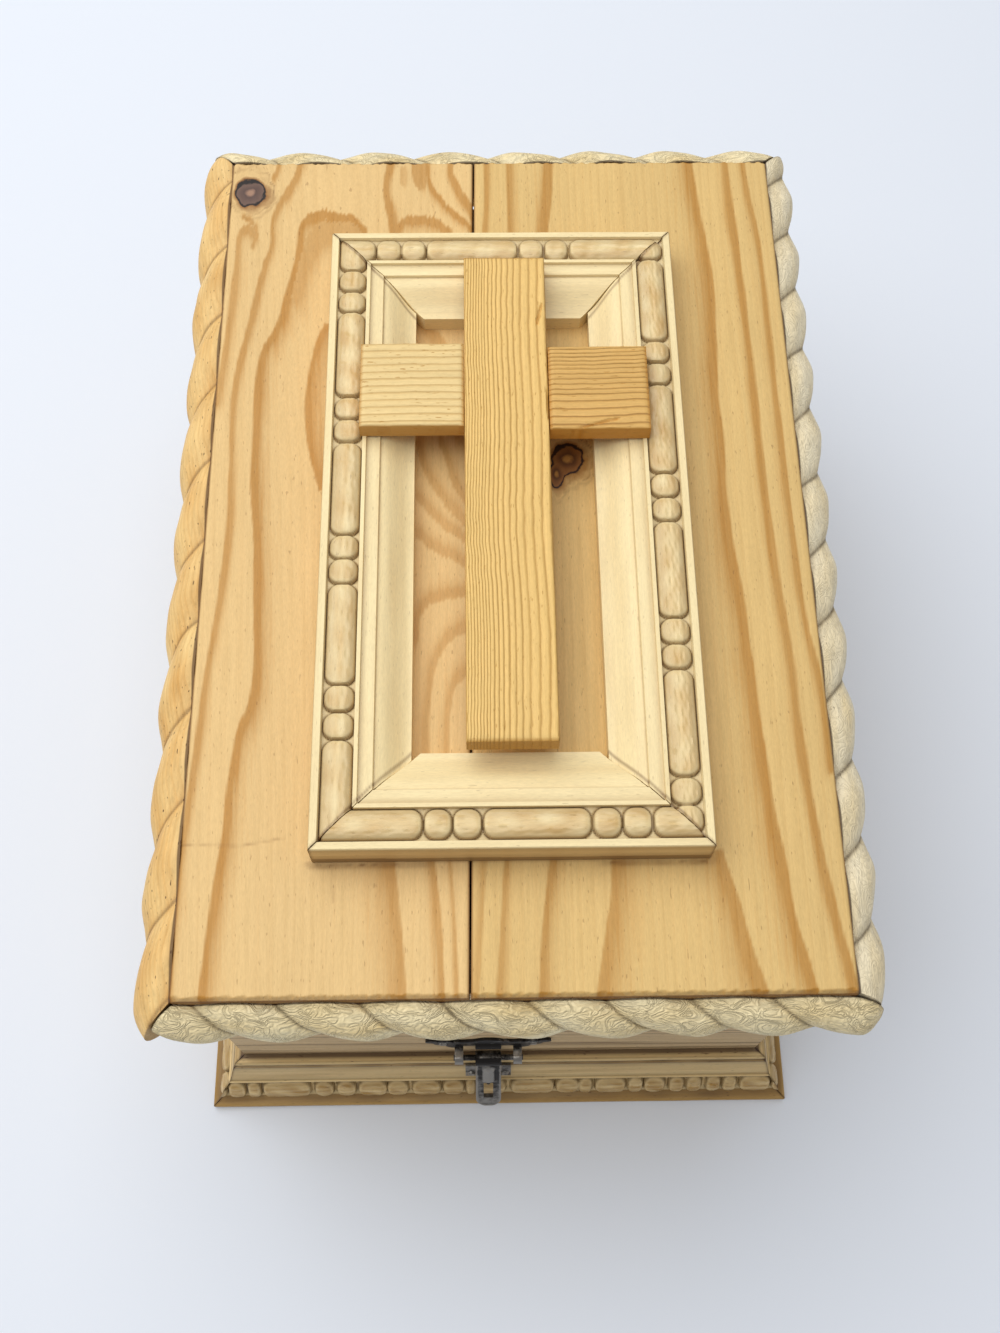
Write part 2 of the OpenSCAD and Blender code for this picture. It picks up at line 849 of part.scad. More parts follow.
// Tongue of the hasp: sheet metal with a raised ridge, rolled round the pin at its top
module hasp_tongue() {
    color("dimgray") at_pivot() rotate([-tongue_angle, 0, 0]) difference() {
        union() {
            knuckle(tongue_w, hasp_knuckle_r);
            translate([0, -tongue_back, 0]) rotate([90, 0, 0])
                linear_extrude(hasp_t) tongue_outline();
            intersection() {
                translate([0, ridge_r - tongue_front - ridge_rise, 0]) {
                    translate([0, 0, -ridge_bottom + ridge_r])
                        cylinder(ridge_bottom - ridge_top - ridge_r, r = ridge_r, $fn = fine);
                    for (z = [ridge_top, ridge_bottom - ridge_r])
                        translate([0, 0, -z]) sphere(ridge_r, $fn = fine);
                }
                translate([-ridge_r - over, -tongue_front - ridge_rise - over, -tongue_l])
                    cube([2 * (ridge_r + over), ridge_rise + over + hasp_t / 2, tongue_l]);
            }
        }
        knuckle(tongue_w + over, hasp_pin_r + pin_fit);
    }
}

base_bottom();
tray_wall_front();
tray_wall_back();
tray_wall_left();
tray_wall_right();
base_moulding_front();
base_moulding_back();
base_moulding_left();
base_moulding_right();
staple_plate();
staple_screws();
hinge_lower_leaf_left();
hinge_lower_leaf_right();
hinge_pin_left();
hinge_pin_right();
hinge_screws_lower();
cover_wall_front();
cover_wall_back();
cover_wall_left();
cover_wall_right();
lid_board_left();
lid_board_right();
rope_front();
rope_back();
rope_left();
rope_right();
frame_front();
frame_back();
frame_left();
frame_right();
cross_post();
cross_arm_left();
cross_arm_right();
hinge_upper_leaf_left();
hinge_upper_leaf_right();
hinge_screws_upper();
hasp_plate();
hasp_pin();
hasp_nails();
hasp_tongue();
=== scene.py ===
import math

import bpy
import numpy as np
from mathutils import Matrix, Vector


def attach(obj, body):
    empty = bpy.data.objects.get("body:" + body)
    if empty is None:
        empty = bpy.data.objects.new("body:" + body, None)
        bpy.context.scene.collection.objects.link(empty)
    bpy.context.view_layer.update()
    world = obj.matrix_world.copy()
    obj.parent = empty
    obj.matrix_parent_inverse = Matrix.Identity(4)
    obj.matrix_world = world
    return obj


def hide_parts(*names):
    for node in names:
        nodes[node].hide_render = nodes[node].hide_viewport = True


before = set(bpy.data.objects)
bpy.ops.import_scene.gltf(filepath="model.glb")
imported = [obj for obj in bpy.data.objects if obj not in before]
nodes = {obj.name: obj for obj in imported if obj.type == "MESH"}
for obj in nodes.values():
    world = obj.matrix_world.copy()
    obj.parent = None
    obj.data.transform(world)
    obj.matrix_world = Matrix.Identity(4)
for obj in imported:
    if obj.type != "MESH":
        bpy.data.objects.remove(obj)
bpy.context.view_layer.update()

MM = 0.001
scene = bpy.context.scene

# Places on the box, in millimetres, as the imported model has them
LID_TOP, LID_BOTTOM = 152.3, 133.3
LID_X0, LID_X1, LID_Y = -90.7, 96.3, 145.85
LID_X = (LID_X0 + LID_X1) / 2
SEAM_FRONT, SEAM_BACK = -9.5, -6.6
WALL_X, WALL_Y = 89.4, 141.15
FRAME_X0, FRAME_X1, FRAME_Y0, FRAME_Y1 = -53.6, 58.4, -107.85, 104.05
FRAME_X, FRAME_Y = (FRAME_X0 + FRAME_X1) / 2, (FRAME_Y0 + FRAME_Y1) / 2
ROPE_Z = 140.3
CROSS_TOP = 171


# Materials

def srgb(code):
    """Linear colour of an sRGB hex value."""
    parts = [int(code[i:i + 2], 16) / 255 for i in (1, 3, 5)]
    return [c / 12.92 if c <= 0.04045 else ((c + 0.055) / 1.055) ** 2.4 for c in parts] + [1.0]


def grey(value):
    """Colour of a mask at this strength."""
    return value, value, value, 1


def add(material, kind, inputs, stops=(), out=0, **settings):
    """Adds one shader node with its settings, its values and its links, and returns one of its outputs."""
    tree = material.node_tree
    node = tree.nodes.new("ShaderNode" + kind)
    for key, value in settings.items():
        setattr(node, key, value)
    for key, value in inputs.items():
        if isinstance(value, bpy.types.NodeSocket):
            tree.links.new(value, node.inputs[key])
        else:
            node.inputs[key].default_value = value
    if stops:
        ramp = node.color_ramp
        while len(ramp.elements) < len(stops):
            ramp.elements.new(0.5)
        for element, (place, colour) in zip(ramp.elements, stops):
            element.position = place
            element.color = colour if len(colour) == 4 else srgb(colour)
    return node.outputs[out] if node.outputs else None


def blank(name):
    """New material with an empty node tree."""
    material = bpy.data.materials.new(name)
    material.use_nodes = True
    material.node_tree.nodes.clear()
    return material


# Colours of a knot: halo, bark, rim, flesh and heart
BLACK_KNOT = ("#8E5A22", "#1C120D", "#6F5548", "#59423A", "#A17C64")
RED_KNOT = ("#A06C2C", "#2E1708", "#94602A", "#5E3612", "#B07C38")


def pine(name, along, early, late_and_shade, dirt_and_shade, line_gap, line_mix, fibre_mix, rough,
         fuzz=0.12, pores=0.5, crinkle=0.0, knot_wood=BLACK_KNOT):
    """Pine with its fibres along one axis. Late wood comes from the piece's own drawn rings and from thin
    parallel lines, line_gap mm apart or, without a gap, where the piece's "phase" turns over.
    The dirt colour is the brown of pores, and also of painted shade in grooves and creases and on sides of pieces. fuzz
    is the height in mm of its fibres, and crinkle the depth in mm of torn, woolly grain. The marks that a piece may
    carry: late, rings and their depth, dirt, knot, drift of the fibres to one side, phase and worn; the late and dirt
    marks also carry painted shade."""
    m = blank(name)

    def mark(which):
        return add(m, "Attribute", {}, out="Fac", attribute_name=which)

    def noise(vector, scale, detail, roughness):
        return add(m, "TexNoise", {
            "Vector": vector, "Scale": scale, "Detail": detail, "Roughness": roughness})

    def spread(value, low, high, to_low=0.0, to_high=1.0):
        return add(m, "MapRange", {
            "Value": value, "From Min": low, "From Max": high, "To Min": to_low, "To Max": to_high})

    def sum_of(value, times, plus, clamp=False):
        return add(m, "Math", {0: value, 1: times, 2: plus}, operation="MULTIPLY_ADD", use_clamp=clamp)

    def mixed(factor, one, other):
        return add(m, "Mix", {"Factor": factor, 6: one, 7: other}, data_type="RGBA", out=2)

    def scaled(colour, factor):
        return add(m, "VectorMath", {0: colour, "Scale": factor}, operation="SCALE")

    def along_grain(share):
        stretch = [1.0, 1.0, 1.0]
        stretch["XYZ".index(along)] = share
        return add(m, "Mapping", {"Vector": straight, "Scale": stretch})

    across = "X" if along == "Y" else "Y"
    place = add(m, "TexCoord", {}, out="Object")
    shift = add(m, "CombineXYZ", {across: mark("drift")})
    straight = add(m, "VectorMath", {0: place, 1: shift}, operation="SUBTRACT")
    # Fibres are about 1 mm wide and 28 mm long, and pores at most 0.5 mm wide and 2.6 mm long
    run, short_run = along_grain(0.04), along_grain(0.2)
    fibre = noise(run, 900.0, 5.0, 0.65)
    streak = noise(run, 170.0, 3.0, 0.5)
    broad = noise(run, 38.0, 2.0, 0.5)
    dots = spread(noise(short_run, 1900.0, 1.0, 0.4), 0.7, 0.78)
    fleck = noise(short_run, 2600.0, 2.0, 0.6)
    # Thin growth lines, bent a little by the broad noise
    if line_gap:
        parts = add(m, "SeparateXYZ", {"Vector": straight}).node.outputs
        depth = sum_of(parts["Z"], 1.0, parts[across])
        turn = sum_of(sum_of(broad, line_gap * MM * 6, depth), 1 / (line_gap * MM), 0.0)
        profile = [(0.0, grey(0)), (0.45, grey(0.08)), (0.86, grey(0.75)), (0.97, grey(0))]
    else:
        turn = sum_of(fibre, 0.25, mark("phase"))
        profile = [(0.0, grey(0)), (0.5, grey(0.1)), (0.76, grey(1)), (0.88, grey(0))]
    saw = add(m, "Math", {0: turn}, operation="FRACT")
    lines = add(m, "ValToRGB", {"Fac": saw}, stops=profile)
    thin = sum_of(lines, line_mix, mark("late_and_shade"))
    thin = sum_of(thin, spread(streak, 0.2, 0.6, 0.7, 1.1), 0.0)
    # Drawn rings: a band with fibres torn at its edges, and a streaky tail on one side
    band = spread(sum_of(fibre, 1.1, sum_of(mark("rings"), 1.0, -0.55)), 0.14, 0.82)
    drawn = sum_of(band, mark("depth"), thin, clamp=True)
    tone = mixed(drawn, srgb(early), srgb(late_and_shade))
    light = spread(fibre, 0.3, 0.7, 1 - fibre_mix, 1 + fibre_mix * 0.6)
    cloud = sum_of(spread(broad, 0.3, 0.7, 0.95, 1.03), spread(fleck, 0.3, 0.7, 0.94, 1.05), 0.0)
    lit = scaled(tone, sum_of(light, cloud, 0.0))
    # Pores, dirt and painted shade, all in the dirt colour
    brown = sum_of(dots, pores, mark("dirt_and_shade"), clamp=True)
    soiled_and_shaded = mixed(brown, lit, srgb(dirt_and_shade))
    # Knots: a pale heart in dark wood, a ring of bark with a torn outline, and a halo
    torn = noise(place, 420.0, 3.0, 0.6)
    knot = sum_of(torn, 0.2, sum_of(mark("knot"), 1.0, -0.1))
    halo, bark, rim, flesh, pith = knot_wood
    knot_colour = add(m, "ValToRGB", {"Fac": knot}, stops=[
        (0.0, halo), (0.33, halo), (0.38, bark), (0.45, bark), (0.5, rim), (0.78, flesh), (0.9, pith)])
    in_knot = add(m, "ValToRGB", {"Fac": knot}, stops=[
        (0.06, grey(0)), (0.17, grey(0.4)), (0.3, grey(0.8)), (0.37, grey(1))])
    colour = mixed(in_knot, soiled_and_shaded, knot_colour)
    # Handled places are smoother
    roughness = sum_of(mark("worn"), -0.2, spread(fibre, 0.3, 0.7, rough + 0.1, rough - 0.06))
    height = sum_of(lines, -0.3 if line_gap else -1.2, sum_of(dots, -0.5, fibre))
    bump = add(m, "Bump", {"Height": height, "Strength": 0.6, "Distance": fuzz * MM})
    if crinkle:
        # Torn grain lies in worm-like ridges about 1.5 mm apart, with thin creases between them
        fold = 0.055
        worm = add(m, "TexNoise", {
            "Vector": along_grain(0.6), "Scale": 230.0, "Detail": 1.5, "Roughness": 0.5, "Distortion": 1.2})
        ridge = add(m, "Math", {0: worm, 1: fold}, operation="PINGPONG")
        bump = add(m, "Bump", {
            "Height": spread(ridge, 0.0, fold), "Strength": 0.8, "Distance": crinkle * MM, "Normal": bump})
        colour = scaled(colour, spread(ridge, 0.0, fold * 0.4, 0.82, 1.0))
    shader = add(m, "BsdfPrincipled", {"Base Color": colour, "Roughness": roughness, "Normal": bump, "IOR": 1.45})
    add(m, "OutputMaterial", {"Surface": shader})
    return m


def sheet_metal(name, bare, patina_and_shade, share, rough, metal, grain):
    """Thin stamped metal with an old skin: its dark colour broken by bare metal. The mark says where it is
    darker, from its old skin and from painted shade, and below nought where it is rubbed bare."""
    m = blank(name)
    place = add(m, "TexCoord", {}, out="Object")
    mottle = add(m, "TexNoise", {"Vector": place, "Scale": grain, "Detail": 5.0, "Roughness": 0.7})
    grit = add(m, "TexNoise", {"Vector": place, "Scale": grain * 8, "Detail": 2.0})
    shield = add(m, "Attribute", {}, out="Fac", attribute_name="patina_and_shade")
    left = add(m, "Math", {0: mottle, 1: shield}, operation="SUBTRACT")
    skin = add(m, "MapRange", {"Value": left, "From Min": share - 0.14, "From Max": share + 0.14})
    colour = add(m, "Mix", {"Factor": skin, 6: srgb(patina_and_shade), 7: srgb(bare)}, data_type="RGBA", out=2)
    dull = add(m, "MapRange", {"Value": skin, "To Min": rough + 0.2, "To Max": rough})
    bump = add(m, "Bump", {"Height": grit, "Strength": 0.5, "Distance": 0.08 * MM})
    shader = add(m, "BsdfPrincipled", {"Base Color": colour, "Roughness": dull, "Metallic": metal, "Normal": bump})
    add(m, "OutputMaterial", {"Surface": shader})
    return m


# Knotty pine boards, planed and left bare: honey yellow, with sharp orange late wood
lid_left_pine = pine("lid_pine_left_planed", "Y", "#E7C283", "#BC8434", "#7A4C1C", 3.4, 0.10, 0.07, 0.55, pores=0.35)
lid_right_pine = pine(
    "lid_pine_right_planed", "Y", "#E0BC78", "#B88232", "#7A4C1C", 3.1, 0.14, 0.08, 0.55, pores=0.4, knot_wood=RED_KNOT)
# Wall boards of the same pine, planed, a shade browner
wall_x_pine = pine("wall_pine_end_planed", "X", "#D6B684", "#6E4E28", "#4A3018", 15.0, 0.9, 0.3, 0.6, pores=1.0)
wall_y_pine = pine("wall_pine_side_planed", "Y", "#D9BA88", "#946C3C", "#4A3018", 13.0, 0.75, 0.2, 0.6, pores=1.0)
# Rope moulding, carved pine: pale and woolly, with painted shade in the grooves in the same brown as its pores
rope_x_pine = pine("rope_pine_end_carved", "X", "#FBEABC", "#E6C98A", "#4A3116", 2.3, 0.12, 0.08, 0.55, 0.15, 0.4, 0.42)
rope_y_pine = pine("rope_pine_side_carved", "Y", "#F8EAC8", "#E4CD9C", "#4A3116", 2.3, 0.15, 0.08, 0.6, 0.15, 0.4, 0.16)
rope_left_pine = pine("rope_pine_left_carved", "Y", "#F1CC88", "#D59F52", "#5A3A18", 2.3, 0.3, 0.16, 0.6, 0.25, 1.0)
# Bead moulding, machined pine: pale cream, beads burnished to tan with painted shade round them, darker at the foot
FRAME_WOOD = ("#F6E1AC", "#D6B070", "#6E4820", 3.6, 0.02, 0.05, 0.44, 0.06, 0.25)
BASE_WOOD = ("#F0D49A", "#B48C4A", "#4A2E12", 3.6, 0.1, 0.12, 0.46)
frame_x_pine = pine("frame_pine_end_moulded", "X", *FRAME_WOOD)
frame_y_pine = pine("frame_pine_side_moulded", "Y", *FRAME_WOOD)
base_x_pine = pine("base_pine_end_moulded", "X", *BASE_WOOD)
base_y_pine = pine("base_pine_side_moulded", "Y", *BASE_WOOD)
# Cross, sawn and rubbed strips of yellower pine with a ribbed face. Their orange-brown dirt colour serves the pores and
# the painted shade on the strips' sides
post_pine = pine("cross_pine_post_sawn", "Y", "#EFC677", "#B98030", "#B07A24", 0, 0.5, 0.08, 0.5, 0.3)
arm_pine = pine("cross_pine_arm_sawn", "X", "#EED090", "#B98842", "#B87E26", 0, 0.55, 0.08, 0.5, 0.3, 0.9)
arm_right_pine = pine("cross_pine_arm_right_sawn", "X", "#E0B264", "#925E26", "#B87A22", 0, 0.75, 0.10, 0.5, 0.4)
# Stamped brass darkened to antique bronze, worn to grey metal on its edges
# Its dark colour also gives the painted shade where the hasp lies in the rope's shadow, and its bare colour a painted
# highlight on the tongue's ridge
bronze = sheet_metal("hasp_bronze_antiqued", "#8C8780", "#26221F", 0.56, 0.3, 0.75, 260.0)
# Plain yellow brass, rolled and a little dull
brass = sheet_metal("hinge_brass_rolled", "#D9B25E", "#8E7037", 0.45, 0.28, 1.0, 500.0)
# Steel screws and nails, zinc plated and dull
steel = sheet_metal("screw_steel_plated", "#A8A39B", "#5E5952", 0.5, 0.35, 0.9, 900.0)

FINISH = {
    "base_bottom": wall_y_pine, "lid_board_left": lid_left_pine, "lid_board_right": lid_right_pine,
    "rope_front": rope_x_pine, "rope_back": rope_x_pine, "rope_left": rope_left_pine, "rope_right": rope_y_pine,
    "cross_post": post_pine, "cross_arm_left": arm_pine, "cross_arm_right": arm_right_pine,
    "hasp_plate": bronze, "hasp_tongue": bronze, "staple_plate": bronze, "hasp_pin": bronze,
    "hasp_nails": steel, "staple_screws": steel, "hinge_screws_lower": brass, "hinge_screws_upper": brass,
}
for group, end_wood, side_wood in (
        ("tray_wall_", wall_x_pine, wall_y_pine), ("cover_wall_", wall_x_pine, wall_y_pine),
        ("frame_", frame_x_pine, frame_y_pine), ("base_moulding_", base_x_pine, base_y_pine)):
    FINISH[group + "front"] = FINISH[group + "back"] = end_wood
    FINISH[group + "left"] = FINISH[group + "right"] = side_wood
for group in ("hinge_lower_leaf_", "hinge_upper_leaf_", "hinge_pin_"):
    FINISH[group + "left"] = FINISH[group + "right"] = brass

for name, node in nodes.items():
    node.data.materials.clear()
    node.data.materials.append(FINISH[name])


# Ways of making the pieces

def unit(values):
    """Keeps values between nought and one."""
    return np.clip(values, 0, 1)


def fade(distance, width, full=1):
    """One at no distance, falling to nought over a width. A larger full holds it at one longer."""
    return np.clip(full - distance / width, 0, 1)


def past_corner(dx, dy):
    """Distance outside a corner whose edges lie dx and dy away; below nought inside it."""
    return np.hypot(np.maximum(dx, 0), np.maximum(dy, 0)) + np.minimum(np.maximum(dx, dy), 0)


def uneven(x, y, width, seed):
    """Gentle hand-made unevenness, -1 to 1, that changes over about width mm."""
    chance = np.random.default_rng(seed)
    total = np.zeros_like(x)
    for _ in range(7):
        turn, phase = chance.uniform(0, 2 * math.pi, 2)
        speed = 2 * math.pi / width * chance.uniform(0.5, 1.6)
        total += np.sin(speed * (x * math.cos(turn) + y * math.sin(turn)) + phase)
    return total / 4


def places(items, what="co"):
    """The x, y and z of every vertex, or of every face's centre."""
    values = np.empty(len(items) * 3)
    items.foreach_get(what, values)
    return values[0::3], values[1::3], values[2::3]


def set_mark(piece, mark, values):
    """Gives every vertex a value for the materials."""
    piece.data.attributes.new(mark, "FLOAT", "POINT").data.foreach_set("value", values.astype(np.float32))


def sheet(name, a_knots, b_knots, surface):
    """Grid with its lines at the given places, bent to surface(a, b), which gives x, y, z in mm and marks."""
    bpy.ops.object.select_all(action="DESELECT")
    bpy.ops.mesh.primitive_grid_add(x_subdivisions=len(a_knots) - 1, y_subdivisions=len(b_knots) - 1, size=2)
    piece = bpy.context.object
    piece.name = piece.data.name = name + "_piece"
    a, b, _ = places(piece.data.vertices)
    a = np.interp(a, np.linspace(-1, 1, len(a_knots)), a_knots)
    b = np.interp(b, np.linspace(-1, 1, len(b_knots)), b_knots)
    x, y, z, marks = surface(a, b)
    piece.data.vertices.foreach_set("co", (np.stack([x, y, z], 1) * MM).ravel())
    for mark, values in marks.items():
        set_mark(piece, mark, values)
    piece.data.update()
    return piece


def mode(kind):
    bpy.ops.object.mode_set(mode=kind)


def close_back(piece, squeeze, level):
    """Draws the open edge of a sheet straight to its flat back and fills that back."""
    mode("EDIT")
    bpy.ops.mesh.select_mode(type="EDGE")
    bpy.ops.mesh.select_all(action="DESELECT")
    bpy.ops.mesh.select_non_manifold()
    bpy.ops.mesh.extrude_edges_move()
    bpy.ops.transform.resize(value=squeeze, center_override=[v * MM for v in level])
    bpy.ops.mesh.edge_face_add()
    mode("OBJECT")


def mitre(piece, point, normal, gap=0.1):
    """Cuts away what lies beyond a plane, short of it by a gap, and closes the cut."""
    size = math.hypot(*normal)
    short_of_it = [(v - n / size * gap) * MM for v, n in zip(point, normal)]
    mode("EDIT")
    bpy.ops.mesh.select_all(action="SELECT")
    bpy.ops.mesh.bisect(plane_co=short_of_it, plane_no=normal, use_fill=True, clear_outer=True)
    mode("OBJECT")


def finish_piece(piece, node, body="cover", angle=38):
    """Turns the faces outwards, smooths them and puts the piece in its CAD node's place."""
    mode("EDIT")
    bpy.ops.mesh.select_all(action="SELECT")
    bpy.ops.mesh.remove_doubles(threshold=0.00001)
    bpy.ops.mesh.normals_make_consistent(inside=False)
    mode("OBJECT")
    bpy.ops.object.shade_smooth_by_angle(angle=math.radians(angle))
    piece.data.materials.append(FINISH[node])
    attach(piece, body)
    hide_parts(node)


def turned(x, y, side):
    """A piece drawn with its length along X and its outside towards -Y, turned to its side of the box."""
    return {"front": (x, y), "back": (-x, -y), "left": (y, -x), "right": (-y, x)}[side]


# Lid boards, with the growth lines of the real boards

def eased(line, times=2):
    """Rounds the corners of a line of points."""
    line = np.array(line, float)
    for _ in range(times):
        inner = np.empty((2 * len(line) - 2, 2))
        inner[0::2] = line[:-1] * 0.75 + line[1:] * 0.25
        inner[1::2] = line[:-1] * 0.25 + line[1:] * 0.75
        line = np.vstack([line[:1], inner, line[-1:]])
    return line


# A board is sawn at a slant to its growth rings, so bands that cross the grain come out wider and more torn
SLANT = 0.45


def growth(x, y, lines):
    """Late wood of the drawn lines at each point, full in the middle of a band and fading over its tail,
    and the strength of the nearest line."""
    level, strength = np.zeros_like(x), np.zeros_like(x)
    y = y * SLANT
    rim = 0.78
    for deep, half, soft, points in lines:
        side = 1 if soft > 0 else -1
        line = eased(points) * (1, SLANT)
        near = np.full_like(x, 1e9)
        signed = np.zeros_like(x)
        for (x0, y0), (x1, y1) in zip(line[:-1], line[1:]):
            ex, ey = x1 - x0, y1 - y0
            size = ex * ex + ey * ey + 1e-9
            t = unit(((x - x0) * ex + (y - y0) * ey) / size)
            dx, dy = x - x0 - t * ex, y - y0 - t * ey
            gap = dx * dx + dy * dy
            closer = gap < near
            near = np.where(closer, gap, near)
            signed = np.where(closer, np.sign(ex * dy - ey * dx) * side, signed)
        wide = half * (1 + 0.25 * uneven(x * 0.3, y / SLANT, 34, len(points)))
        past = np.sqrt(near) - wide
        inside = rim + 0.22 * unit(-past / half)
        tail = np.where(signed > 0, rim * np.exp(-np.maximum(past, 0) / abs(soft)), unit(rim - past * 1.5))
        own = np.where(past < 0, inside, tail)
        strength = np.where(own > level, deep, strength)
        level = np.maximum(level, own)
    return level, strength


# Growth lines: strength, half width of the band, reach of its soft tail and points. The tail lies to the left
# of the way of travel, or with a minus to the right
LEFT_LINES = [
    (0.75, 0.75, 1.2, [(-67, 145), (-69, 136), (-74, 126), (-76, 118), (-75, 109), (-78, 99), (-81, 75), (-84, 59),
     (-85, 43), (-84, 22), (-83, 1), (-84, -17), (-85, -31), (-87, -50), (-88, -72), (-89, -86), (-90, -99),
     (-91, -111), (-91, -145)]),
    (0.68, 0.8, 1.4, [(-81, 113), (-84, 117), (-87, 114), (-87, 104), (-87, 96), (-88, 73), (-89, 59), (-90, 47)]),
    (0.88, 0.9, 3.0, [(-44, 115), (-49, 120), (-58, 122), (-66, 119), (-66, 106), (-69, 89), (-71, 75), (-76, 66),
     (-77, 57), (-77, 43), (-77, 22), (-75, 1), (-74, -14), (-73, -31), (-72, -50), (-73, -61), (-76, -68),
     (-77, -77), (-78, -86), (-78, -99), (-79, -107), (-80, -115), (-81, -127), (-82, -146)]),
    (0.6, 2.0, 3.0, [(-47, 115), (-54, 117), (-61, 112), (-64, 100), (-66, 90)]),
    (0.7, 0.3, 0.6, [(-86, 121.5), (-84, 120.5), (-81.5, 118), (-81.2, 115), (-82, 109)]),
    (0.75, 0.5, 0.9, [(-74.4, 148), (-75, 142), (-76.5, 138.5)]),
    (0.85, 0.7, 6.0, [(-56, 74), (-59, 66), (-60.5, 54), (-61, 43), (-60, 32), (-57.5, 22), (-56, 15)]),
    (0.8, 1.0, 1.0, [(-35, 147), (-37, 138), (-37, 130), (-35, 123), (-34, 113)]),
    (0.7, 2.4, 1.0, [(-25.4, 150), (-25.2, 139)]),
    (0.4, 0.9, 0.8, [(-31, 141), (-31, 137)]),
    (0.8, 0.75, -1.5, [(-33, 115), (-31, 119), (-29, 120), (-24, 120), (-19, 118), (-15, 115)]),
    (0.85, 0.5, -1.0, [(-23, 147), (-22.6, 138), (-21, 133), (-18, 128), (-14, 123), (-9, 118), (-6, 114)]),
    (0.8, 0.9, -0.9, [(-14, 147), (-15, 141), (-13, 135), (-10, 129), (-6, 121)]),
    (0.55, 1.1, -2.0, [(-25, 78), (-19, 70), (-15, 62), (-12, 54)]),
    (0.5, 0.8, -1.4, [(-25, 56), (-21, 48), (-15, 38), (-9, 28)]),
    (0.5, 0.7, 1.4, [(-25, 30), (-23, 21), (-19, 13), (-14, 6), (-9, 0)]),
    (0.5, 0.7, 1.3, [(-18, 31), (-15, 23), (-14, 16), (-9, 8)]),
    (0.5, 0.6, 1.3, [(-25, 11), (-21, 5), (-15, -1), (-9, -6)]),
    (0.5, 0.6, 1.4, [(-25, -3), (-19, -8), (-9, -14)]),
    (0.55, 0.7, 1.6, [(-25, -39), (-25, -32), (-23, -27), (-20, -25), (-15, -24), (-9, -23)]),
    (0.5, 0.7, 1.4, [(-22, -75), (-22, -65), (-21, -55), (-20, -47), (-17, -41), (-15, -38), (-10, -35)]),
    (0.5, 0.7, 1.4, [(-16, -75), (-16, -65), (-15, -58), (-14, -53), (-10, -49)]),
    (0.7, 1.2, -5.5, [(-32, -107), (-31, -116), (-29.5, -128), (-28.5, -136), (-28, -146)]),
    (0.7, 0.7, -1.6, [(-20, -107), (-19, -116), (-18, -128), (-17, -146)]),
    (0.6, 0.35, -0.8, [(-15, -107), (-14, -120), (-13, -146)]),
]
RIGHT_LINES = [
    (0.7, 0.8, 1.0, [(-2, 147), (-2, 132), (-3, 113)]),
    (0.7, 0.9, 1.2, [(6, 147), (6, 131), (6, 113)]),
    (0.8, 1.4, -1.6, [(20, 147), (19, 131), (17, 113)]),
    (0.85, 1.15, -3.6, [(69, 147), (70, 127), (72, 109), (73, 90), (72, 67), (71, 48), (72, 31), (71, 12), (71, -5),
     (73, -22), (74, -41), (75, -64), (76, -88), (78, -107), (80, -128), (84, -146)]),
    (0.78, 1.0, -1.3, [(82, 147), (82, 125), (83, 104), (84, 62), (84, 12), (85, -20), (87, -47), (87, -74),
     (89, -101), (91, -121), (95, -145)]),
    (0.75, 0.7, -1.2, [(88, 147), (89, 127), (91, 108), (91, 70), (91, 20), (92, -33), (94, -45), (95, -57),
     (95, -81)]),
    (0.78, 1.3, -4.5, [(61, -108), (64, -120), (66, -132), (70, -147)]),
    (0.5, 0.5, -2.0, [(-5, -107), (-6, -120), (-8, -147)]),
    (0.65, 0.6, 1.6, [(1, -107), (0, -120), (-1.5, -147)]),
    (0.75, 0.8, 2.4, [(14, -107), (13, -116), (11, -129), (10, -147)]),
    (0.7, 1.3, 5.0, [(32, -108), (31, -121), (29, -131), (26, -147)]),
]


def from_frame(x, y):
    """Distance outside the frame's foot."""
    return past_corner(
        np.abs(x - FRAME_X) - (FRAME_X1 - FRAME_X0) / 2, np.abs(y - FRAME_Y) - (FRAME_Y1 - FRAME_Y0) / 2)


def near_line(x, y, points):
    """Distance to a drawn line."""
    near = np.full_like(x, 1e9)
    for (x0, y0), (x1, y1) in zip(points[:-1], points[1:]):
        ex, ey = x1 - x0, y1 - y0
        t = unit(((x - x0) * ex + (y - y0) * ey) / (ex * ex + ey * ey))
        near = np.minimum(near, np.hypot(x - x0 - t * ex, y - y0 - t * ey))
    return near


# Scratches, and dark lines along the frame's foot: strength and points
SCRATCHES = [
    (0.5, [(-90.9, -102.3), (-74, -102.7), (-61.4, -100.6)]),
    (0.35, [(-48, -107.7), (-47.3, -119.1)]),
    (0.8, [(-54, -108.7), (-42, -108.6), (-29, -108.7)]),
    (0.8, [(30, -108.6), (43, -108.8), (57, -108.6)]),
    (0.8, [(58.9, 60), (59.1, 20), (58.9, -30), (59.2, -80)]),
]


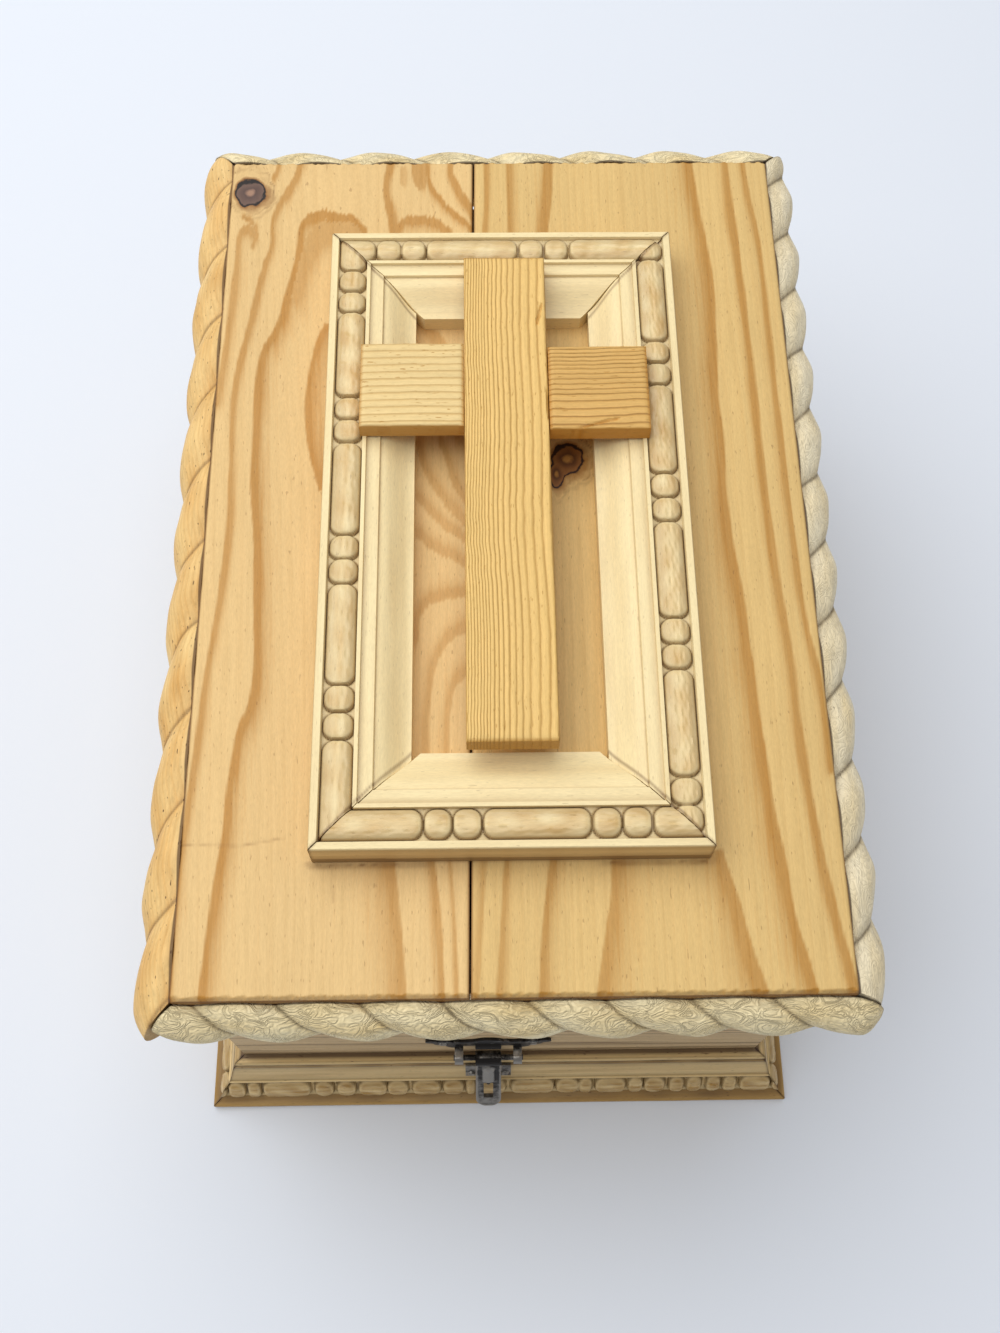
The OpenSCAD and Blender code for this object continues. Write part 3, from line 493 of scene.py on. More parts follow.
def around_knots(x, y, knots, seed):
    """Strength of the knots, the brown arcs round them, and how far they push the fibres aside."""
    knot, arcs, drift = (np.zeros_like(x) for _ in range(3))
    bark_at = 0.36
    for cx, cy, rx, ry in knots:
        turn = np.arctan2(y - cy, x - cx)
        away = np.hypot((x - cx) / rx, (y - cy) / ry) * (1 + 0.08 * uneven(x, y, 5, seed))
        # The bark is thick at the back and thin elsewhere, and the halo lies at the front right
        bark = 0.07 + 0.3 * unit(np.sin(turn - 0.2)) ** 2
        halo = 0.2 + 0.75 * unit(np.cos(turn + 0.8))
        inside = bark_at + 0.1 * unit((1 - away) / bark) + 0.54 * unit((1 - away - bark) / (1 - bark))
        knot = np.maximum(knot, np.where(away < 1, inside, bark_at * fade(away - 1, halo)))
        bend = unit(0.45 + 0.55 * np.sin(2 * turn + 2.2 + 1.2 * np.sign(away - 1.6)))
        for ring, weight in ((1.3, 0.35), (1.55, 0.6), (1.85, 0.3)):
            off = np.abs(away - ring - 0.04 * np.sin(turn + ring * 9))
            arcs = np.maximum(arcs, weight * bend * fade(off, 0.13, 1.1))
        drift += (x - cx) * 0.8 * np.exp(-(away / 1.5) ** 2)
    return knot, arcs, drift


def lid_board(node, left, right, lines, knots, seed):
    """Board from left(y) to right(y), its top uneven and its edges worn round. A knot is its middle, half
    width and half length."""
    a_knots = np.linspace(0, 1, int((right(0) - left(0)) / 0.62))
    # The grid is finer along both ends, where the edge is torn
    inner = LID_Y - 2.8
    b_knots = np.concatenate([
        np.linspace(-LID_Y, -inner, 14), np.linspace(-inner, inner, int(2 * inner / 0.7))[1:-1],
        np.linspace(inner, LID_Y, 14)])

    def surface(a, b):
        x = left(b) * (1 - a) + right(b) * a
        y = b.copy()
        side = np.minimum(x - left(b), right(b) - x)
        end = LID_Y - np.abs(b)
        # Where a band crosses the grain its edge is torn into fibres
        torn_y = y + 0.8 * uneven(x * 6, y * 0.2, 9, seed + 2) + 0.4 * uneven(x, y * 0.1, 9, seed + 3)
        rings, depth = growth(x, torn_y, lines)
        knot, dirt_and_shade, drift = around_knots(x, y, knots, seed + 8)
        # The slope of the left board's grain
        drift += -0.06 * (y + 100) * unit((-40 - x) / 30)
        # Edges: rubbed off along the sides, and crumbled along the ends
        crumble = unit(0.5 + 0.7 * uneven(x * 2, y, 5, seed + 5))
        z = LID_TOP + 0.08 * uneven(x, y, 60, seed) - 0.05 - 0.05 * rings
        z -= 1.5 * fade(end, 0.8 + 0.9 * crumble) ** 1.5
        z -= 0.6 * fade(side, 1.0) ** 2
        z += 0.25 * np.clip(uneven(x * 3, y * 3, 5, seed + 9), -1, 1) * fade(end, 1.6)
        for weight, points in SCRATCHES:
            near = near_line(x, y, points)
            dirt_and_shade = np.maximum(dirt_and_shade, weight * fade(near, 0.55) * (0.6 + 0.4 * uneven(x, y, 4, seed + 7)))
            z -= 0.12 * fade(near, 0.6)
        # A thin line of painted shade round the frame's foot, and a darker strip on the lid in front of it
        outside = from_frame(x, y)
        dirt_and_shade = np.maximum(dirt_and_shade, 0.38 * fade(np.abs(outside - 0.2), 0.45, 1.1))
        front_strip = unit(2.4 - outside) * (outside > 0) * (y < FRAME_Y0) * unit((np.abs(x - 3) - 22) / 4)
        dirt_and_shade = np.maximum(dirt_and_shade, front_strip * (0.35 + 0.15 * uneven(x, y, 12, seed + 12)))
        torn = unit(0.5 + 0.6 * uneven(x * 4, y * 4, 5, seed + 6))
        late_and_shade = 0.45 * torn * unit(4 * (1 - end / (1.1 + 0.5 * crumble)))
        dirt_and_shade = np.maximum(dirt_and_shade, 0.3 * (1 - torn) * unit(3 * (1 - end / (0.8 + 0.4 * crumble))))
        # A dark line in the joint all round
        dirt_and_shade = np.maximum(dirt_and_shade, 0.9 * fade(np.minimum(end, side), 0.12, 1.4))
        return x, y, z, {
            "late_and_shade": late_and_shade, "rings": rings, "depth": depth, "knot": knot, "dirt_and_shade": unit(dirt_and_shade), "drift": drift * MM}

    piece = sheet(node, a_knots, b_knots, surface)
    close_back(piece, (1, 1, 0), (0, 0, LID_BOTTOM))
    # The edge's dirt and torn wood don't reach the underside
    height = places(piece.data.vertices)[2]
    for mark in ("dirt_and_shade", "late_and_shade"):
        values = np.empty(len(height), np.float32)
        piece.data.attributes[mark].data.foreach_get("value", values)
        values[height < (LID_BOTTOM + 1) * MM] = 0
        piece.data.attributes[mark].data.foreach_set("value", values)
    finish_piece(piece, node)


# How far each board stops short of the seam's middle
SEAM_LEFT, SEAM_RIGHT = 0.28, 0.25


def seam(y):
    """Middle of the seam between the boards, which runs a little aslant."""
    return SEAM_FRONT + (SEAM_BACK - SEAM_FRONT) * (y / LID_Y + 1) / 2


lid_board("lid_board_left", lambda y: LID_X0 + 0 * y, lambda y: seam(y) - SEAM_LEFT, LEFT_LINES,
          [(-84.2, 132.4, 5.3, 6.1)], 11)
lid_board("lid_board_right", lambda y: seam(y) + SEAM_RIGHT, lambda y: LID_X1 + 0 * y, RIGHT_LINES,
          [(22.4, 23.8, 5.2, 6.0), (18.8, 18.2, 2.4, 5.2)], 23)


# Rope moulding: two strands turned about one centre, cut flat at the back. For each side: x and y of its middle,
# radius, spacing of the strands, and the place of one groove

ROPES = {
    "front": (LID_X, -LID_Y, 9.3, 22.8, 13.7),
    "back": (LID_X, LID_Y, 11.4, 26, 11.1),
    "left": (LID_X0, 0, 12, 28.5, 16.4),
    "right": (LID_X1, 0, 10.9, 24.5, 1.6),
}
GROOVE = 2.6
# The front right corner isn't mitred at 45 degrees: the front rope's rounded end runs on past the right rope's.
# SKEW is that mitre's slope, and LAST_STRAND is the strand that runs on to that end without another groove
SKEW = 0.3
SKEWED = {("front", 1): (SKEW, 1), ("right", -1): (-SKEW, -1)}
LAST_STRAND = 3.8


def rope(side):
    px, py, radius, pitch, groove = ROPES[side]
    ends = side in ("front", "back")
    half = (LID_X1 - LID_X0) / 2 if ends else LID_Y
    full = half + radius
    offset = (radius ** 2 - (radius - GROOVE) ** 2) / (2 * radius)
    strand = radius - offset
    # Degrees round the section, closer together at the top, where the rope meets the lid
    a_knots = np.concatenate([np.linspace(-84, 82, 54), (84, 85.4, 86.4, 87.2, 88)])
    b_knots = np.linspace(-full, full, int(full * 2 / 0.5))
    seed = len(side) * 7 + ends

    def surface(a, b):
        turn = (b - groove + 2 * pitch * a / 360) / pitch
        turn += 0.035 * uneven(b, a * 0.2, 40, seed)
        if side == "front":
            turn = np.minimum(turn, LAST_STRAND)
        number = np.floor(turn)
        lay = turn - number
        angle = (lay - 0.5) * math.pi
        r = offset * np.cos(angle) + np.sqrt(strand ** 2 - (offset * np.sin(angle)) ** 2)
        # No two strands are quite alike, and each bulges a little before it goes under the next
        r -= 0.15 + 0.16 * uneven(b, a * 0.3, 14, seed + 1) + 0.1 * np.sin(number * 2.4 + seed)
        r += 0.12 * np.sin(lay * 4 * math.pi) * np.sin(lay * math.pi)
        # The tips at the corners are rubbed blunt, and the front rope's right end is round
        tip = unit((np.abs(b) - half) / radius)
        left_over = 1 - (0.5 if side == "left" else 0.28) * tip ** 2
        if side == "front":
            beyond = np.clip(b - half - 2.3, 0, None) / 7
            left_over = np.where(b > half, np.sqrt(np.clip(1 - beyond ** 2, 0.02, 1)), left_over)
        r *= left_over
        rad = np.radians(a)
        out = r * np.cos(rad)
        z = ROPE_Z + r * np.sin(rad)
        from_groove = np.minimum(lay, 1 - lay) * pitch
        # Painted shade in the grooves and in the crease where the rope meets the lid
        dirt_and_shade = 0.6 * fade(from_groove, 0.95, 1.15) + 0.85 * unit((a - 85.4) / 1.6)
        # Painted shade on the front end of each strand of the right rope
        if side == "right":
            dirt_and_shade += 0.22 * fade(lay * pitch, 5)
        steep = np.ones_like(b)
        if side == "front":
            steep[b > 0] = SKEW
        if side == "right":
            steep[b < 0] = 1 / SKEW
        dirt_and_shade += 0.8 * fade(np.abs((np.abs(b) - half) * steep - out), 0.7, 1.2)
        late_and_shade = 0.3 + 0.3 * uneven(b, a * 0.5, 25, seed + 2) + 0.25 * fade(from_groove, 2.5)
        late_and_shade += 0.6 * unit((np.abs(b) - half - 0.5 * radius) / radius)
        x, y = turned(b, -out, side)
        return x + px, y + py, z, {"dirt_and_shade": unit(dirt_and_shade), "late_and_shade": unit(late_and_shade)}

    piece = sheet("rope_" + side, a_knots, b_knots, surface)
    squeeze, level = ((1, 0, 1), (0, py, 0)) if ends else ((0, 1, 1), (px, 0, 0))
    close_back(piece, squeeze, level)
    for end in (-1, 1):
        corner = turned(end * half, 0, side)
        out = SKEWED.get((side, end), turned(end, 1, side))
        mitre(piece, (corner[0] + px, corner[1] + py, ROPE_Z), (out[0], out[1], 0), 0.3)
    finish_piece(piece, "rope_" + side, angle=50)


for side in ROPES:
    rope(side)


# Bead-and-barrel moulding on the lid, and the raked one with the same beads round the foot

BEAD_HALF, BEAD_RISE = 4.4, 2.1
# Width of the frame's end pieces and side pieces
FRAME_END, FRAME_SIDE = 30.2, 27.8


def frame_section(wide):
    """Section of the frame from its thick outer edge inwards, as place across and height off the lid, and the
    number of the point where the floor of the beads starts."""
    line = [
        (0, 0.5), (0, 3.3), (0, 3.7), (0, 11.7), (0.35, 12.25), (2.3, 12.3), (2.75, 10.9), (11.85, 10.9),
        (11.95, 12.65), (13.1, 12.7), (13.3, 11.75), (17.3, 11.65), (17.6, 10.7)]
    # The cove that slopes down to the lid
    for share in np.linspace(0.08, 1, 12):
        line.append((17.6 + share * (wide - 17.6), 10.6 - 2.5 * (1 - math.cos(math.pi * share))))
    return line, 6


# Section of the base moulding from its foot up: height, and thickness off the wall
BASE_SECTION = [
    (0, 13.9), (0.5, 14.3), (2.3, 14.3), (2.7, 14.0), (3.75, 10.75), (12.0, 6.5), (12.05, 7.5), (13.5, 7.55),
    (13.65, 6.95), (19, 5.75), (25.2, 4.2), (25.4, 3.5), (28.2, 3.45), (28.6, 3.1), (28.6, 1.6), (28.6, 0.9)]
BASE_BEADS_AT = 4


def section_knots(line, bead_at):
    """Places along a section, as point number and share of the way to the next: close together on the beads."""
    knots = []
    for i in range(len(line) - 1):
        size = math.dist(line[i], line[i + 1])
        steps = 24 if i == bead_at else max(2, min(8, round(size / 0.7)))
        knots += list(i + np.linspace(0, 1, steps + 1)[:-1])
    return knots + [len(line) - 1]


def bead_row(s, du, row, seed):
    """Rise of the row of beads, a line of painted shade round them, and how much of a bead's top a point is on.
    s runs along the row and du across it from its middle."""
    rise, away = np.zeros_like(s), np.full_like(s, 9.0)
    for middle, long in row:
        near = np.abs(s - middle) < long / 2 + 2
        corner = min(3.3, long / 2 - 0.1)
        edge = past_corner(
            np.abs(s[near] - middle) - long / 2 + corner, np.abs(du[near]) - BEAD_HALF + corner) - corner
        inner = unit(-edge / 2.5)
        round_across = np.sqrt(unit(1 - (du[near] / BEAD_HALF) ** 2)) * (edge < 0)
        dome = 0.5 * np.sqrt(1 - (1 - inner) ** 2) + 0.5 * round_across
        rise[near] = np.maximum(rise[near], BEAD_RISE * dome)
        away[near] = np.minimum(away[near], edge)
    # Facets left by the cutter, and its groove round each bead
    rise *= 1 + 0.08 * uneven(s * 0.8, du * 2.5, 4, seed)
    rise -= 0.45 * np.exp(-((away - 0.12) / 0.3) ** 2)
    return rise, np.exp(-((away - 0.05) / 0.32) ** 2), unit(-away / 1.2 - 0.1)


def bead_places(reach, barrel, shift, seed):
    """Middles and lengths of a repeated barrel and two beads, no two quite alike."""
    chance = np.random.default_rng(seed)
    bead, gap = 8.1, 0.2
    pitch = barrel + 3 * gap + 2 * bead
    first = (barrel + bead) / 2
    row = []
    for i in range(-int((reach + shift) // pitch) - 2, int((reach - shift) // pitch) + 3):
        for place, long in ((0, barrel), (first + gap, bead), (first + 2 * gap + bead, bead)):
            row.append((i * pitch + shift + place + chance.uniform(-0.15, 0.15), long - chance.uniform(0.1, 0.5)))
    return row


def moulding(p, s, line, bead_at, row, seed):
    """Place across, height and marks of a stretch of moulding; p runs along its section and s along its length."""
    numbers = np.arange(len(line))
    u = np.interp(p, numbers, [q[0] for q in line])
    h = np.interp(p, numbers, [q[1] for q in line])
    (u0, h0), (u1, h1) = line[bead_at], line[bead_at + 1]
    size = math.dist((u0, h0), (u1, h1))
    across = (p - bead_at) * size
    on = (across >= -1e-6) & (across <= size + 1e-6)
    across = across - size / 2
    rise, ring, top = bead_row(s, across, row, seed)
    rise = np.where(on, rise, 0)
    # A bead rises square off the floor that it stands on
    u = u - rise * (h1 - h0) / size
    h = h + rise * (u1 - u0) / size
    h = h + 0.05 * uneven(s, u * 3, 40, seed + 1)
    # Painted shade lies at the foot of each steep step
    steps = np.zeros_like(p)
    for i in range(1, len(line) - 1):
        beside = line[i - 1], line[i + 1]
        steepest = max(abs(q[1] - line[i][1]) - 1.2 * abs(q[0] - line[i][0]) for q in beside)
        if steepest > 0.1 and line[i][1] < max(q[1] for q in beside) - 0.3:
            steps = np.maximum(steps, np.exp(-((p - i) * 3) ** 2))
    # Painted shade round the beads and at the foot of the steps
    dirt_and_shade = np.where(on, 0.6 * ring, 0) + 0.3 * steps
    # Bead tops are browner, in patches
    patches = 0.45 * top + 0.3 * top * uneven(s * 0.5, across * 2, 6, seed + 4)
    late_and_shade = np.where(on, patches, 0) + unit(0.06 + 0.12 * uneven(s * 0.3, u * 3, 14, seed + 2))
    return u, h, {"dirt_and_shade": unit(dirt_and_shade), "late_and_shade": unit(late_and_shade), "worn": np.where(on, top, 0)}


def frame_piece(side, barrel, shift):
    ends = side in ("front", "back")
    broad, deep = FRAME_X1 - FRAME_X0, FRAME_Y1 - FRAME_Y0
    long, reach = (broad, deep / 2) if ends else (deep, broad / 2)
    wide, run = (FRAME_END, FRAME_SIDE) if ends else (FRAME_SIDE, FRAME_END)
    seed = 31 + 5 * len(side)
    row = bead_places(long / 2, barrel, shift, seed)
    line, bead_at = frame_section(wide)

    def surface(a, b):
        u, height, marks = moulding(a, b, line, bead_at, row, seed)
        from_mitre = np.minimum(long / 2 - b - u * run / wide, b + long / 2 - u * run / wide)
        marks["dirt_and_shade"] = marks["dirt_and_shade"] + 0.6 * fade(np.abs(from_mitre), 0.9, 1.1)
        # The outer face is browner, as painted shade, and darker still along its foot
        face = u < 0.01
        marks["late_and_shade"] = np.where(face, 0.75, marks["late_and_shade"])
        marks["dirt_and_shade"] = unit(np.where(face & (height < 3.5), 0.75 if ends else 0.3, marks["dirt_and_shade"]))
        x, y = turned(b, u - reach, side)
        return x + FRAME_X, y + FRAME_Y, LID_TOP + height, marks

    b_knots = np.linspace(-long / 2, long / 2, int(long / 0.42))
    piece = sheet("frame_" + side, section_knots(line, bead_at), b_knots, surface)
    close_back(piece, (1, 1, 0), (0, 0, LID_TOP))
    for end in (-1, 1):
        corner = turned(end * long / 2, -reach, side)
        out = turned(end * wide, run, side)
        mitre(piece, (corner[0] + FRAME_X, corner[1] + FRAME_Y, LID_TOP), (out[0], out[1], 0), 0.15)
    finish_piece(piece, "frame_" + side)


for side, barrel, shift in (("front", 30.1, 7.1), ("back", 30.1, 9.6), ("left", 32.3, -8.3), ("right", 32.3, 28.8)):
    frame_piece(side, barrel, shift)

# The beads of the base's front piece as they come, from the left corner: middle and length
FRONT_BEADS = [
    (-102, 7.6), (-94.6, 6.2), (-88.4, 4.8), (-76.7, 17.2), (-63.3, 6.9), (-55.3, 6.9), (-45.8, 10.3), (-36.8, 7.6),
    (-26.5, 10.3), (-16.8, 7.6), (-10.6, 3.4), (-3.1, 10.3), (11.6, 15.6), (24.2, 8.3), (30.8, 4.8), (39.7, 11.1),
    (48.8, 5.5), (55.7, 7.6), (63.6, 5.5), (69.9, 5.5), (76.9, 5.3), (82.8, 5.1), (92.0, 11.1), (101.5, 7),
]
BASE_BARREL = 17
# How far a base moulding runs past the wall's corner before its mitre is cut
BASE_SPARE = 15.5


def base_piece(side):
    ends = side in ("front", "back")
    half, back = (WALL_X, WALL_Y) if ends else (WALL_Y, WALL_X)
    seed = 71 + 5 * len(side)
    row = FRONT_BEADS if side == "front" else bead_places(half + 12, BASE_BARREL, 0, seed)

    def surface(a, b):
        z, thick, marks = moulding(a, b, BASE_SECTION, BASE_BEADS_AT, row, seed)
        from_mitre = np.abs(half + thick - np.abs(b))
        dirt_and_shade = unit(marks["dirt_and_shade"] + 0.4 * fade(from_mitre, 0.9, 1.1))
        # The members above the beads are a little browner, and the foot far more
        marks["late_and_shade"] = unit(marks["late_and_shade"] * 1.1 + 0.35 * (z > 13.6) + 0.85 * (z < 4))
        # A patchy line of painted shade under the top member and one over the foot, and the dark joint with the cover
        patchy = 0.75 + 0.25 * uneven(b, z * 0.1, 18, seed + 9)
        dirt_and_shade = dirt_and_shade + patchy * (0.6 * fade(np.abs(z - 25.35), 0.4, 1.2) + 0.5 * fade(np.abs(z - 3.2), 0.5, 1.3))
        marks["dirt_and_shade"] = unit(dirt_and_shade + 0.85 * unit((1.7 - thick) / 0.5))
        x, y = turned(b, -back - thick, side)
        return x, y, z, marks

    long = half + BASE_SPARE
    b_knots = np.linspace(-long, long, int(2 * long / 0.5))
    piece = sheet("base_moulding_" + side, section_knots(BASE_SECTION, BASE_BEADS_AT), b_knots, surface)
    wall = turned(0, -back, side)
    close_back(piece, (1, 0, 1) if ends else (0, 1, 1), (wall[0], wall[1], 0))
    for end in (-1, 1):
        corner = turned(end * half, -back, side)
        out = turned(end, 1, side)
        mitre(piece, (corner[0], corner[1], 0), (out[0], out[1], 0))
    finish_piece(piece, "base_moulding_" + side, "base")


for side in ("front", "back", "left", "right"):
    base_piece(side)


# Cross: sawn strips, rubbed until their growth lines lie in shallow grooves

# The split at the front of the right arm, and the nicks in the post's right edge
SPLITS = {
    "cross_arm_right": [[(25, 22.9), (30, 24.6), (37, 26.3)]],
    "cross_post": [[(15.5, 37), (15.9, 27)], [(13.2, 62.5), (14.6, 69)]],
}


def cross_strip(node, x0, x1, y0, y1, z0, along, spacing, relief, seed):
    """Strip with its lines along one axis. spacing lists places across the strip, from its low side, and
    how many lines have passed there."""
    x_step, y_step = (0.3, 1.0) if along == "Y" else (1.0, 0.3)
    groove_at = 0.76

    def surface(x, y):
        edge = np.minimum(np.minimum(x - x0, x1 - x), np.minimum(y - y0, y1 - y))
        across, length = (x - x0, y) if along == "Y" else (y - y0, x)
        bent = across + 0.5 * uneven(across * 0.15, length, 45, seed)
        bent = bent + 0.12 * uneven(across * 0.3, length, 9, seed + 3)
        phase = np.interp(bent, [q[0] for q in spacing], [q[1] for q in spacing])
        off = phase - np.floor(phase) - groove_at
        z = CROSS_TOP - relief * np.exp(-(off / 0.16) ** 2) - 0.08 * (1 + uneven(x, y, 30, seed + 1))
        z -= 0.6 * fade(edge, 0.7 + 0.4 * uneven(x, y, 6, seed + 4)) ** 2
        split = np.full_like(x, 9.0)
        for points in SPLITS.get(node, []):
            split = np.minimum(split, near_line(x, y, points))
        z = np.where(split < 0.45, z - 0.5, z)
        # The strips' sides are darkened as painted shade, and the splits are dark
        dirt_and_shade = np.where(edge < 0.02, 0.8, 0) + 0.5 * (split < 0.4)
        return x, y, z, {"phase": phase, "dirt_and_shade": unit(dirt_and_shade)}

    piece = sheet(
        node, np.linspace(x0, x1, int((x1 - x0) / x_step)), np.linspace(y0, y1, int((y1 - y0) / y_step)), surface)
    close_back(piece, (1, 1, 0), (0, 0, z0))
    finish_piece(piece, node)


cross_strip("cross_post", -10, 16, -78.95, 88.45, 164, "Y",
            [(-3, -3.3), (7, 8), (11, 11), (17, 14.2), (30, 19)], 0.16, 3)
cross_strip("cross_arm_left", -42.4, -10.2, 24.35, 54.95, 165, "X", [(-3, -1), (31, 12), (35, 13.4)], 0.14, 5)
cross_strip("cross_arm_right", 16.2, 47.2, 22.85, 53.45, 165, "X",
            [(-3, -0.8), (3, 1), (12, 4.2), (22, 9.5), (31, 15.5), (35, 18)], 0.24, 8)


# Hasp: the tongue is stamped, with a raised rim, a ridge and a slot, and rolled round its pin

PIVOT = (-4.3, -145.35, 42.641)
TONGUE_ANGLE = math.radians(19)
TONGUE_LONG, TONGUE_HALF, TONGUE_THICK, ROLL = 32.6, 4.4, 1.6, 2.3
SLOT_START, SLOT_STOP, SLOT_HALF = 15.6, 26.6, 1.65


def hanging(x, out, below):
    """A place on the tongue, out from the pin's middle and below it, in the row frame."""
    y = PIVOT[1] - below * math.sin(TONGUE_ANGLE) - out * math.cos(TONGUE_ANGLE)
    z = PIVOT[2] - below * math.cos(TONGUE_ANGLE) + out * math.sin(TONGUE_ANGLE)
    return PIVOT[0] + x, y, z


def rod(radius, long, place, edge, corners):
    """A round rod that lies across the box, with the edges of its ends broken."""
    bpy.ops.object.select_all(action="DESELECT")
    bpy.ops.mesh.primitive_cylinder_add(
        vertices=corners, radius=radius * MM, depth=long * MM, rotation=(0, math.pi / 2, 0),
        location=[v * MM for v in place])
    bpy.ops.object.transform_apply(location=True, rotation=True)
    piece = bpy.context.object
    piece.modifiers.new("edge", "BEVEL").width = edge * MM
    bpy.ops.object.modifier_apply(modifier="edge")
    return piece


def tongue():
    # Shares of the half width, and places down the tongue, with grid lines on all sides of the slot
    x_knots = np.concatenate([np.linspace(-1, -0.4, 9), np.linspace(-0.375, 0.375, 9), np.linspace(0.4, 1, 9)])
    v_knots = np.concatenate([
        np.linspace(-2.2, SLOT_START, 48), np.linspace(SLOT_START, SLOT_STOP, 20)[1:],
        np.linspace(SLOT_STOP, TONGUE_LONG, 16)[1:]])

    def surface(a, b):
        # The tip is a half circle
        beyond = b - TONGUE_LONG + TONGUE_HALF
        half = np.where(beyond > 0, np.sqrt(np.clip(TONGUE_HALF ** 2 - beyond ** 2, 0.01, None)), TONGUE_HALF)
        x = a * half
        rim = np.minimum(half * (1 - np.abs(a)), TONGUE_LONG - b)
        out = TONGUE_THICK + 0.35 * np.exp(-((rim - 0.5) / 0.45) ** 2) - 0.25 * fade(rim, 0.3)
        ridge = unit(1 - (x / 2.3) ** 2) * unit((b - 3.2) / 2.0) * unit((SLOT_START - 0.6 - b) / 1.6)
        out = out + 1.05 * ridge ** 0.7
        # The strip comes round the front of its own roll
        out = np.maximum(out, np.sqrt(np.clip((ROLL + 0.5) ** 2 - b ** 2, 0, None)))
        # Darkest at the root, painted shade where the roll lies in the rope's shadow, and lighter towards the tip. Worn
        # bare on the rim and on the ridge, where the bare metal also serves as a painted highlight
        patina_and_shade = 0.1 + 0.4 * unit(2.6 - b) - 0.012 * np.clip(b - 10, 0, None)
        patina_and_shade = patina_and_shade - 0.45 * fade(rim, 0.65, 1.3) - 0.7 * ridge
        return (*hanging(x, out, b), {"patina_and_shade": patina_and_shade})

    strip = sheet("hasp_tongue", x_knots, v_knots, surface)
    faces = strip.data.polygons
    x, y, z = places(faces, "center")
    below = (PIVOT[2] - z / MM) * math.cos(TONGUE_ANGLE) + (PIVOT[1] - y / MM) * math.sin(TONGUE_ANGLE)
    mode("EDIT")
    bpy.ops.mesh.select_mode(type="FACE")
    bpy.ops.mesh.select_all(action="DESELECT")
    mode("OBJECT")
    in_slot = (np.abs(x / MM - PIVOT[0]) < SLOT_HALF) & (below > SLOT_START) & (below < SLOT_STOP)
    faces.foreach_set("select", in_slot)
    mode("EDIT")
    bpy.ops.mesh.delete(type="FACE")
    mode("OBJECT")
    thicken = strip.modifiers.new("thick", "SOLIDIFY")
    thicken.thickness = TONGUE_THICK * MM
    thicken.offset = 1
    bpy.ops.object.modifier_apply(modifier="thick")
    rod(ROLL, 2 * TONGUE_HALF, PIVOT, 0.3, 40)
    strip.select_set(True)
    bpy.context.view_layer.objects.active = strip
    bpy.ops.object.join()
    finish_piece(strip, "hasp_tongue", "hasp_tongue")


tongue()


def softened(node, body, width, worn=None, extra=None):
    """The CAD piece again, with its sharp edges broken. worn(y) gives its patina, and extra is joined to it."""
    piece = nodes[node].copy()
    piece.data = nodes[node].data.copy()
    piece.name = piece.data.name = node + "_piece"
    scene.collection.objects.link(piece)
    bpy.ops.object.select_all(action="DESELECT")
    piece.select_set(True)
    bpy.context.view_layer.objects.active = piece
    piece.data.materials.clear()
    mode("EDIT")
    bpy.ops.mesh.select_all(action="SELECT")
    bpy.ops.mesh.remove_doubles(threshold=0.000005)
    bpy.ops.mesh.dissolve_limited(angle_limit=math.radians(1))
    mode("OBJECT")
    edge = piece.modifiers.new("edge", "BEVEL")
    edge.width = width * MM
    edge.segments = 2
    edge.limit_method = "ANGLE"
    edge.angle_limit = math.radians(35)
    bpy.ops.object.modifier_apply(modifier="edge")
    if worn:
        set_mark(piece, "patina_and_shade", worn(places(piece.data.vertices)[1] / MM))
    if extra:
        extra.select_set(True)
        bpy.ops.object.join()
    finish_piece(piece, node, body)


# The half-round boss on the hasp plate, above the roll of the tongue
boss = rod(2.2, 8.8, (PIVOT[0], -141.4, PIVOT[2] + 5.9), 0.25, 36)
# The boss is darkened as painted shade, for it lies in the rope's shadow
set_mark(boss, "patina_and_shade", np.full(len(boss.data.vertices), 0.4))
# What stands out in front of the plate's own face is rubbed bare
PLATE_FACE = -142.3
softened("hasp_plate", "cover", 0.18, lambda y: np.where(y < PLATE_FACE, -0.35, 0.12), boss)
softened("staple_plate", "base", 0.18, lambda y: np.full_like(y, -0.12))
for side in ("front", "back", "left", "right"):
    softened("cover_wall_" + side, "cover", 0.3)
    softened("tray_wall_" + side, "base", 0.3)
for side in ("left", "right"):
    softened("hinge_upper_leaf_" + side, "cover", 0.15)
    softened("hinge_lower_leaf_" + side, "base", 0.15)


# Floor, light and camera

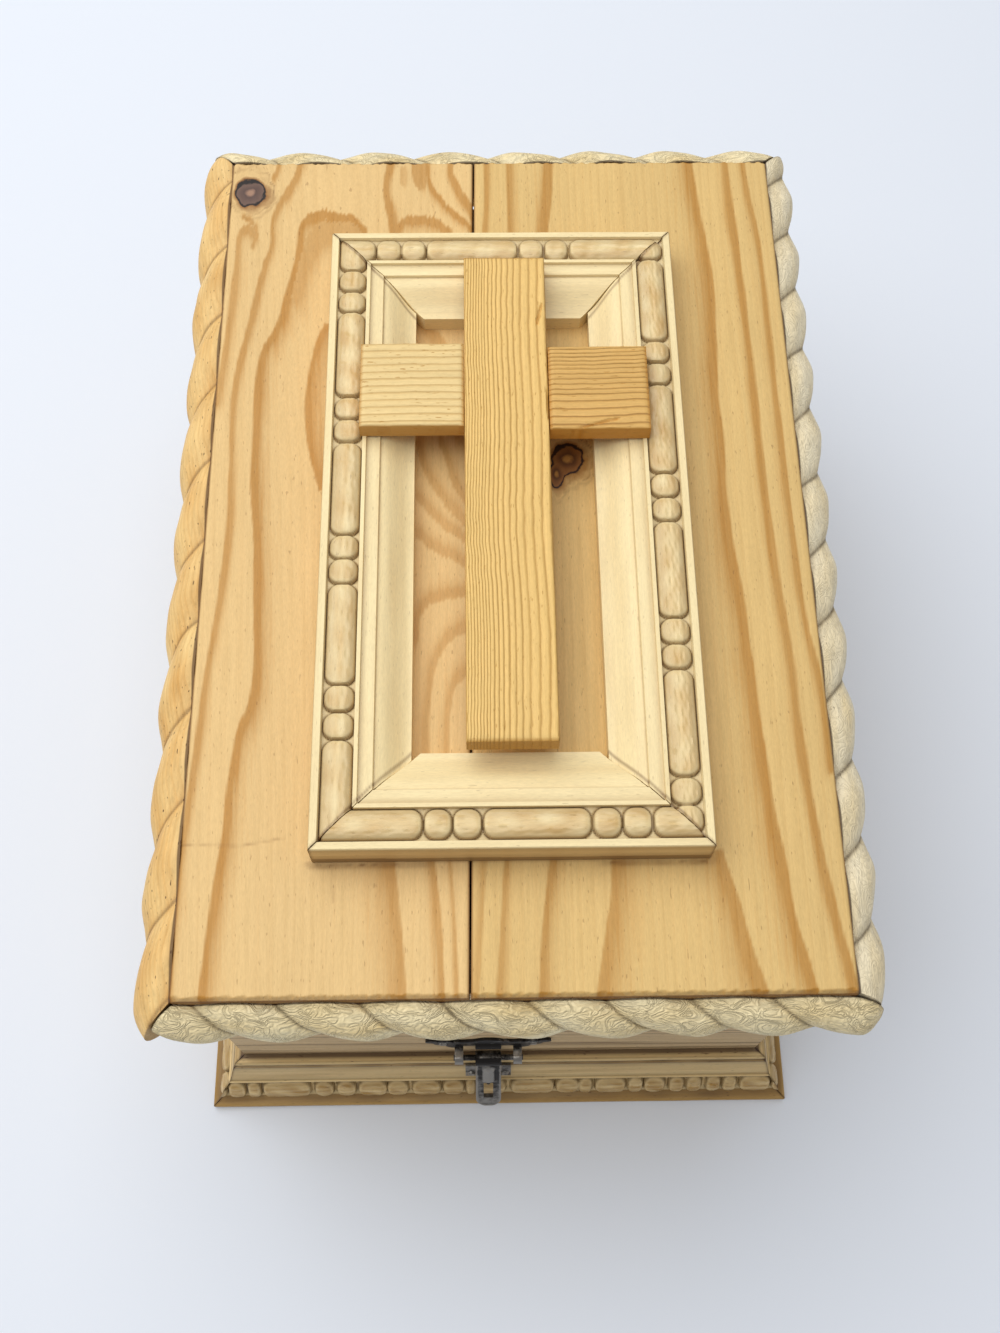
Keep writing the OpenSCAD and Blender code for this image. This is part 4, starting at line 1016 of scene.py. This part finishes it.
floor_paint = blank("floor_paper_matt")
shade = add(floor_paint, "BsdfPrincipled", {"Base Color": srgb("#E7ECF4"), "Roughness": 0.9, "Specular IOR Level": 0.1})
add(floor_paint, "OutputMaterial", {"Surface": shade})
bpy.ops.object.select_all(action="DESELECT")
bpy.ops.mesh.primitive_plane_add(size=6, location=(0, 0, -0.0003))
floor = bpy.context.object
floor.name = "floor"
floor.data.materials.append(floor_paint)

world = bpy.data.worlds.new("studio")
scene.world = world
world.use_nodes = True
world.node_tree.nodes.clear()
seen = add(world, "LightPath", {}, out="Is Camera Ray")
room = add(world, "Background", {"Color": srgb("#F0F2F6"), "Strength": 0.44})
white = add(world, "Background", {"Color": srgb("#E4E9EF"), "Strength": 1.0})
either = add(world, "MixShader", {0: seen, 1: room, 2: white})
add(world, "OutputWorld", {"Surface": either})

# One large soft window, high up on the left and a little behind
WINDOW_PLACE, LIT_PLACE = Vector((-0.5, 0.3, 1.5)), Vector((0, 0, 0.1))
lamp = bpy.data.lights.new("window_left", "AREA")
lamp.shape = "DISK"
lamp.size = 2.4
lamp.energy = 27.0
window = bpy.data.objects.new("window_left", lamp)
scene.collection.objects.link(window)
window.location = WINDOW_PLACE
window.rotation_euler = (WINDOW_PLACE - LIT_PLACE).normalized().to_track_quat("Z", "Y").to_euler()

# The camera as it was fitted to the photo
YAW, PITCH, LEAN = math.radians(2.118), math.radians(66.3), math.radians(-1.411)
ahead = np.array([math.sin(YAW) * math.cos(PITCH), math.cos(YAW) * math.cos(PITCH), -math.sin(PITCH)])
level = np.array([math.cos(YAW), -math.sin(YAW), 0])
down = np.cross(ahead, level)
right = math.cos(LEAN) * level + math.sin(LEAN) * down
low = -math.sin(LEAN) * level + math.cos(LEAN) * down
lens = bpy.data.cameras.new("camera")
lens.lens = 38.74
lens.sensor_width = 36
camera = bpy.data.objects.new("camera", lens)
scene.collection.objects.link(camera)
pose = Matrix([list(right), list(-low), list(-ahead)]).transposed().to_4x4()
pose.translation = (-0.00636, -0.2197, 0.543)
camera.matrix_world = pose
scene.camera = camera
scene.view_settings.view_transform = "Standard"
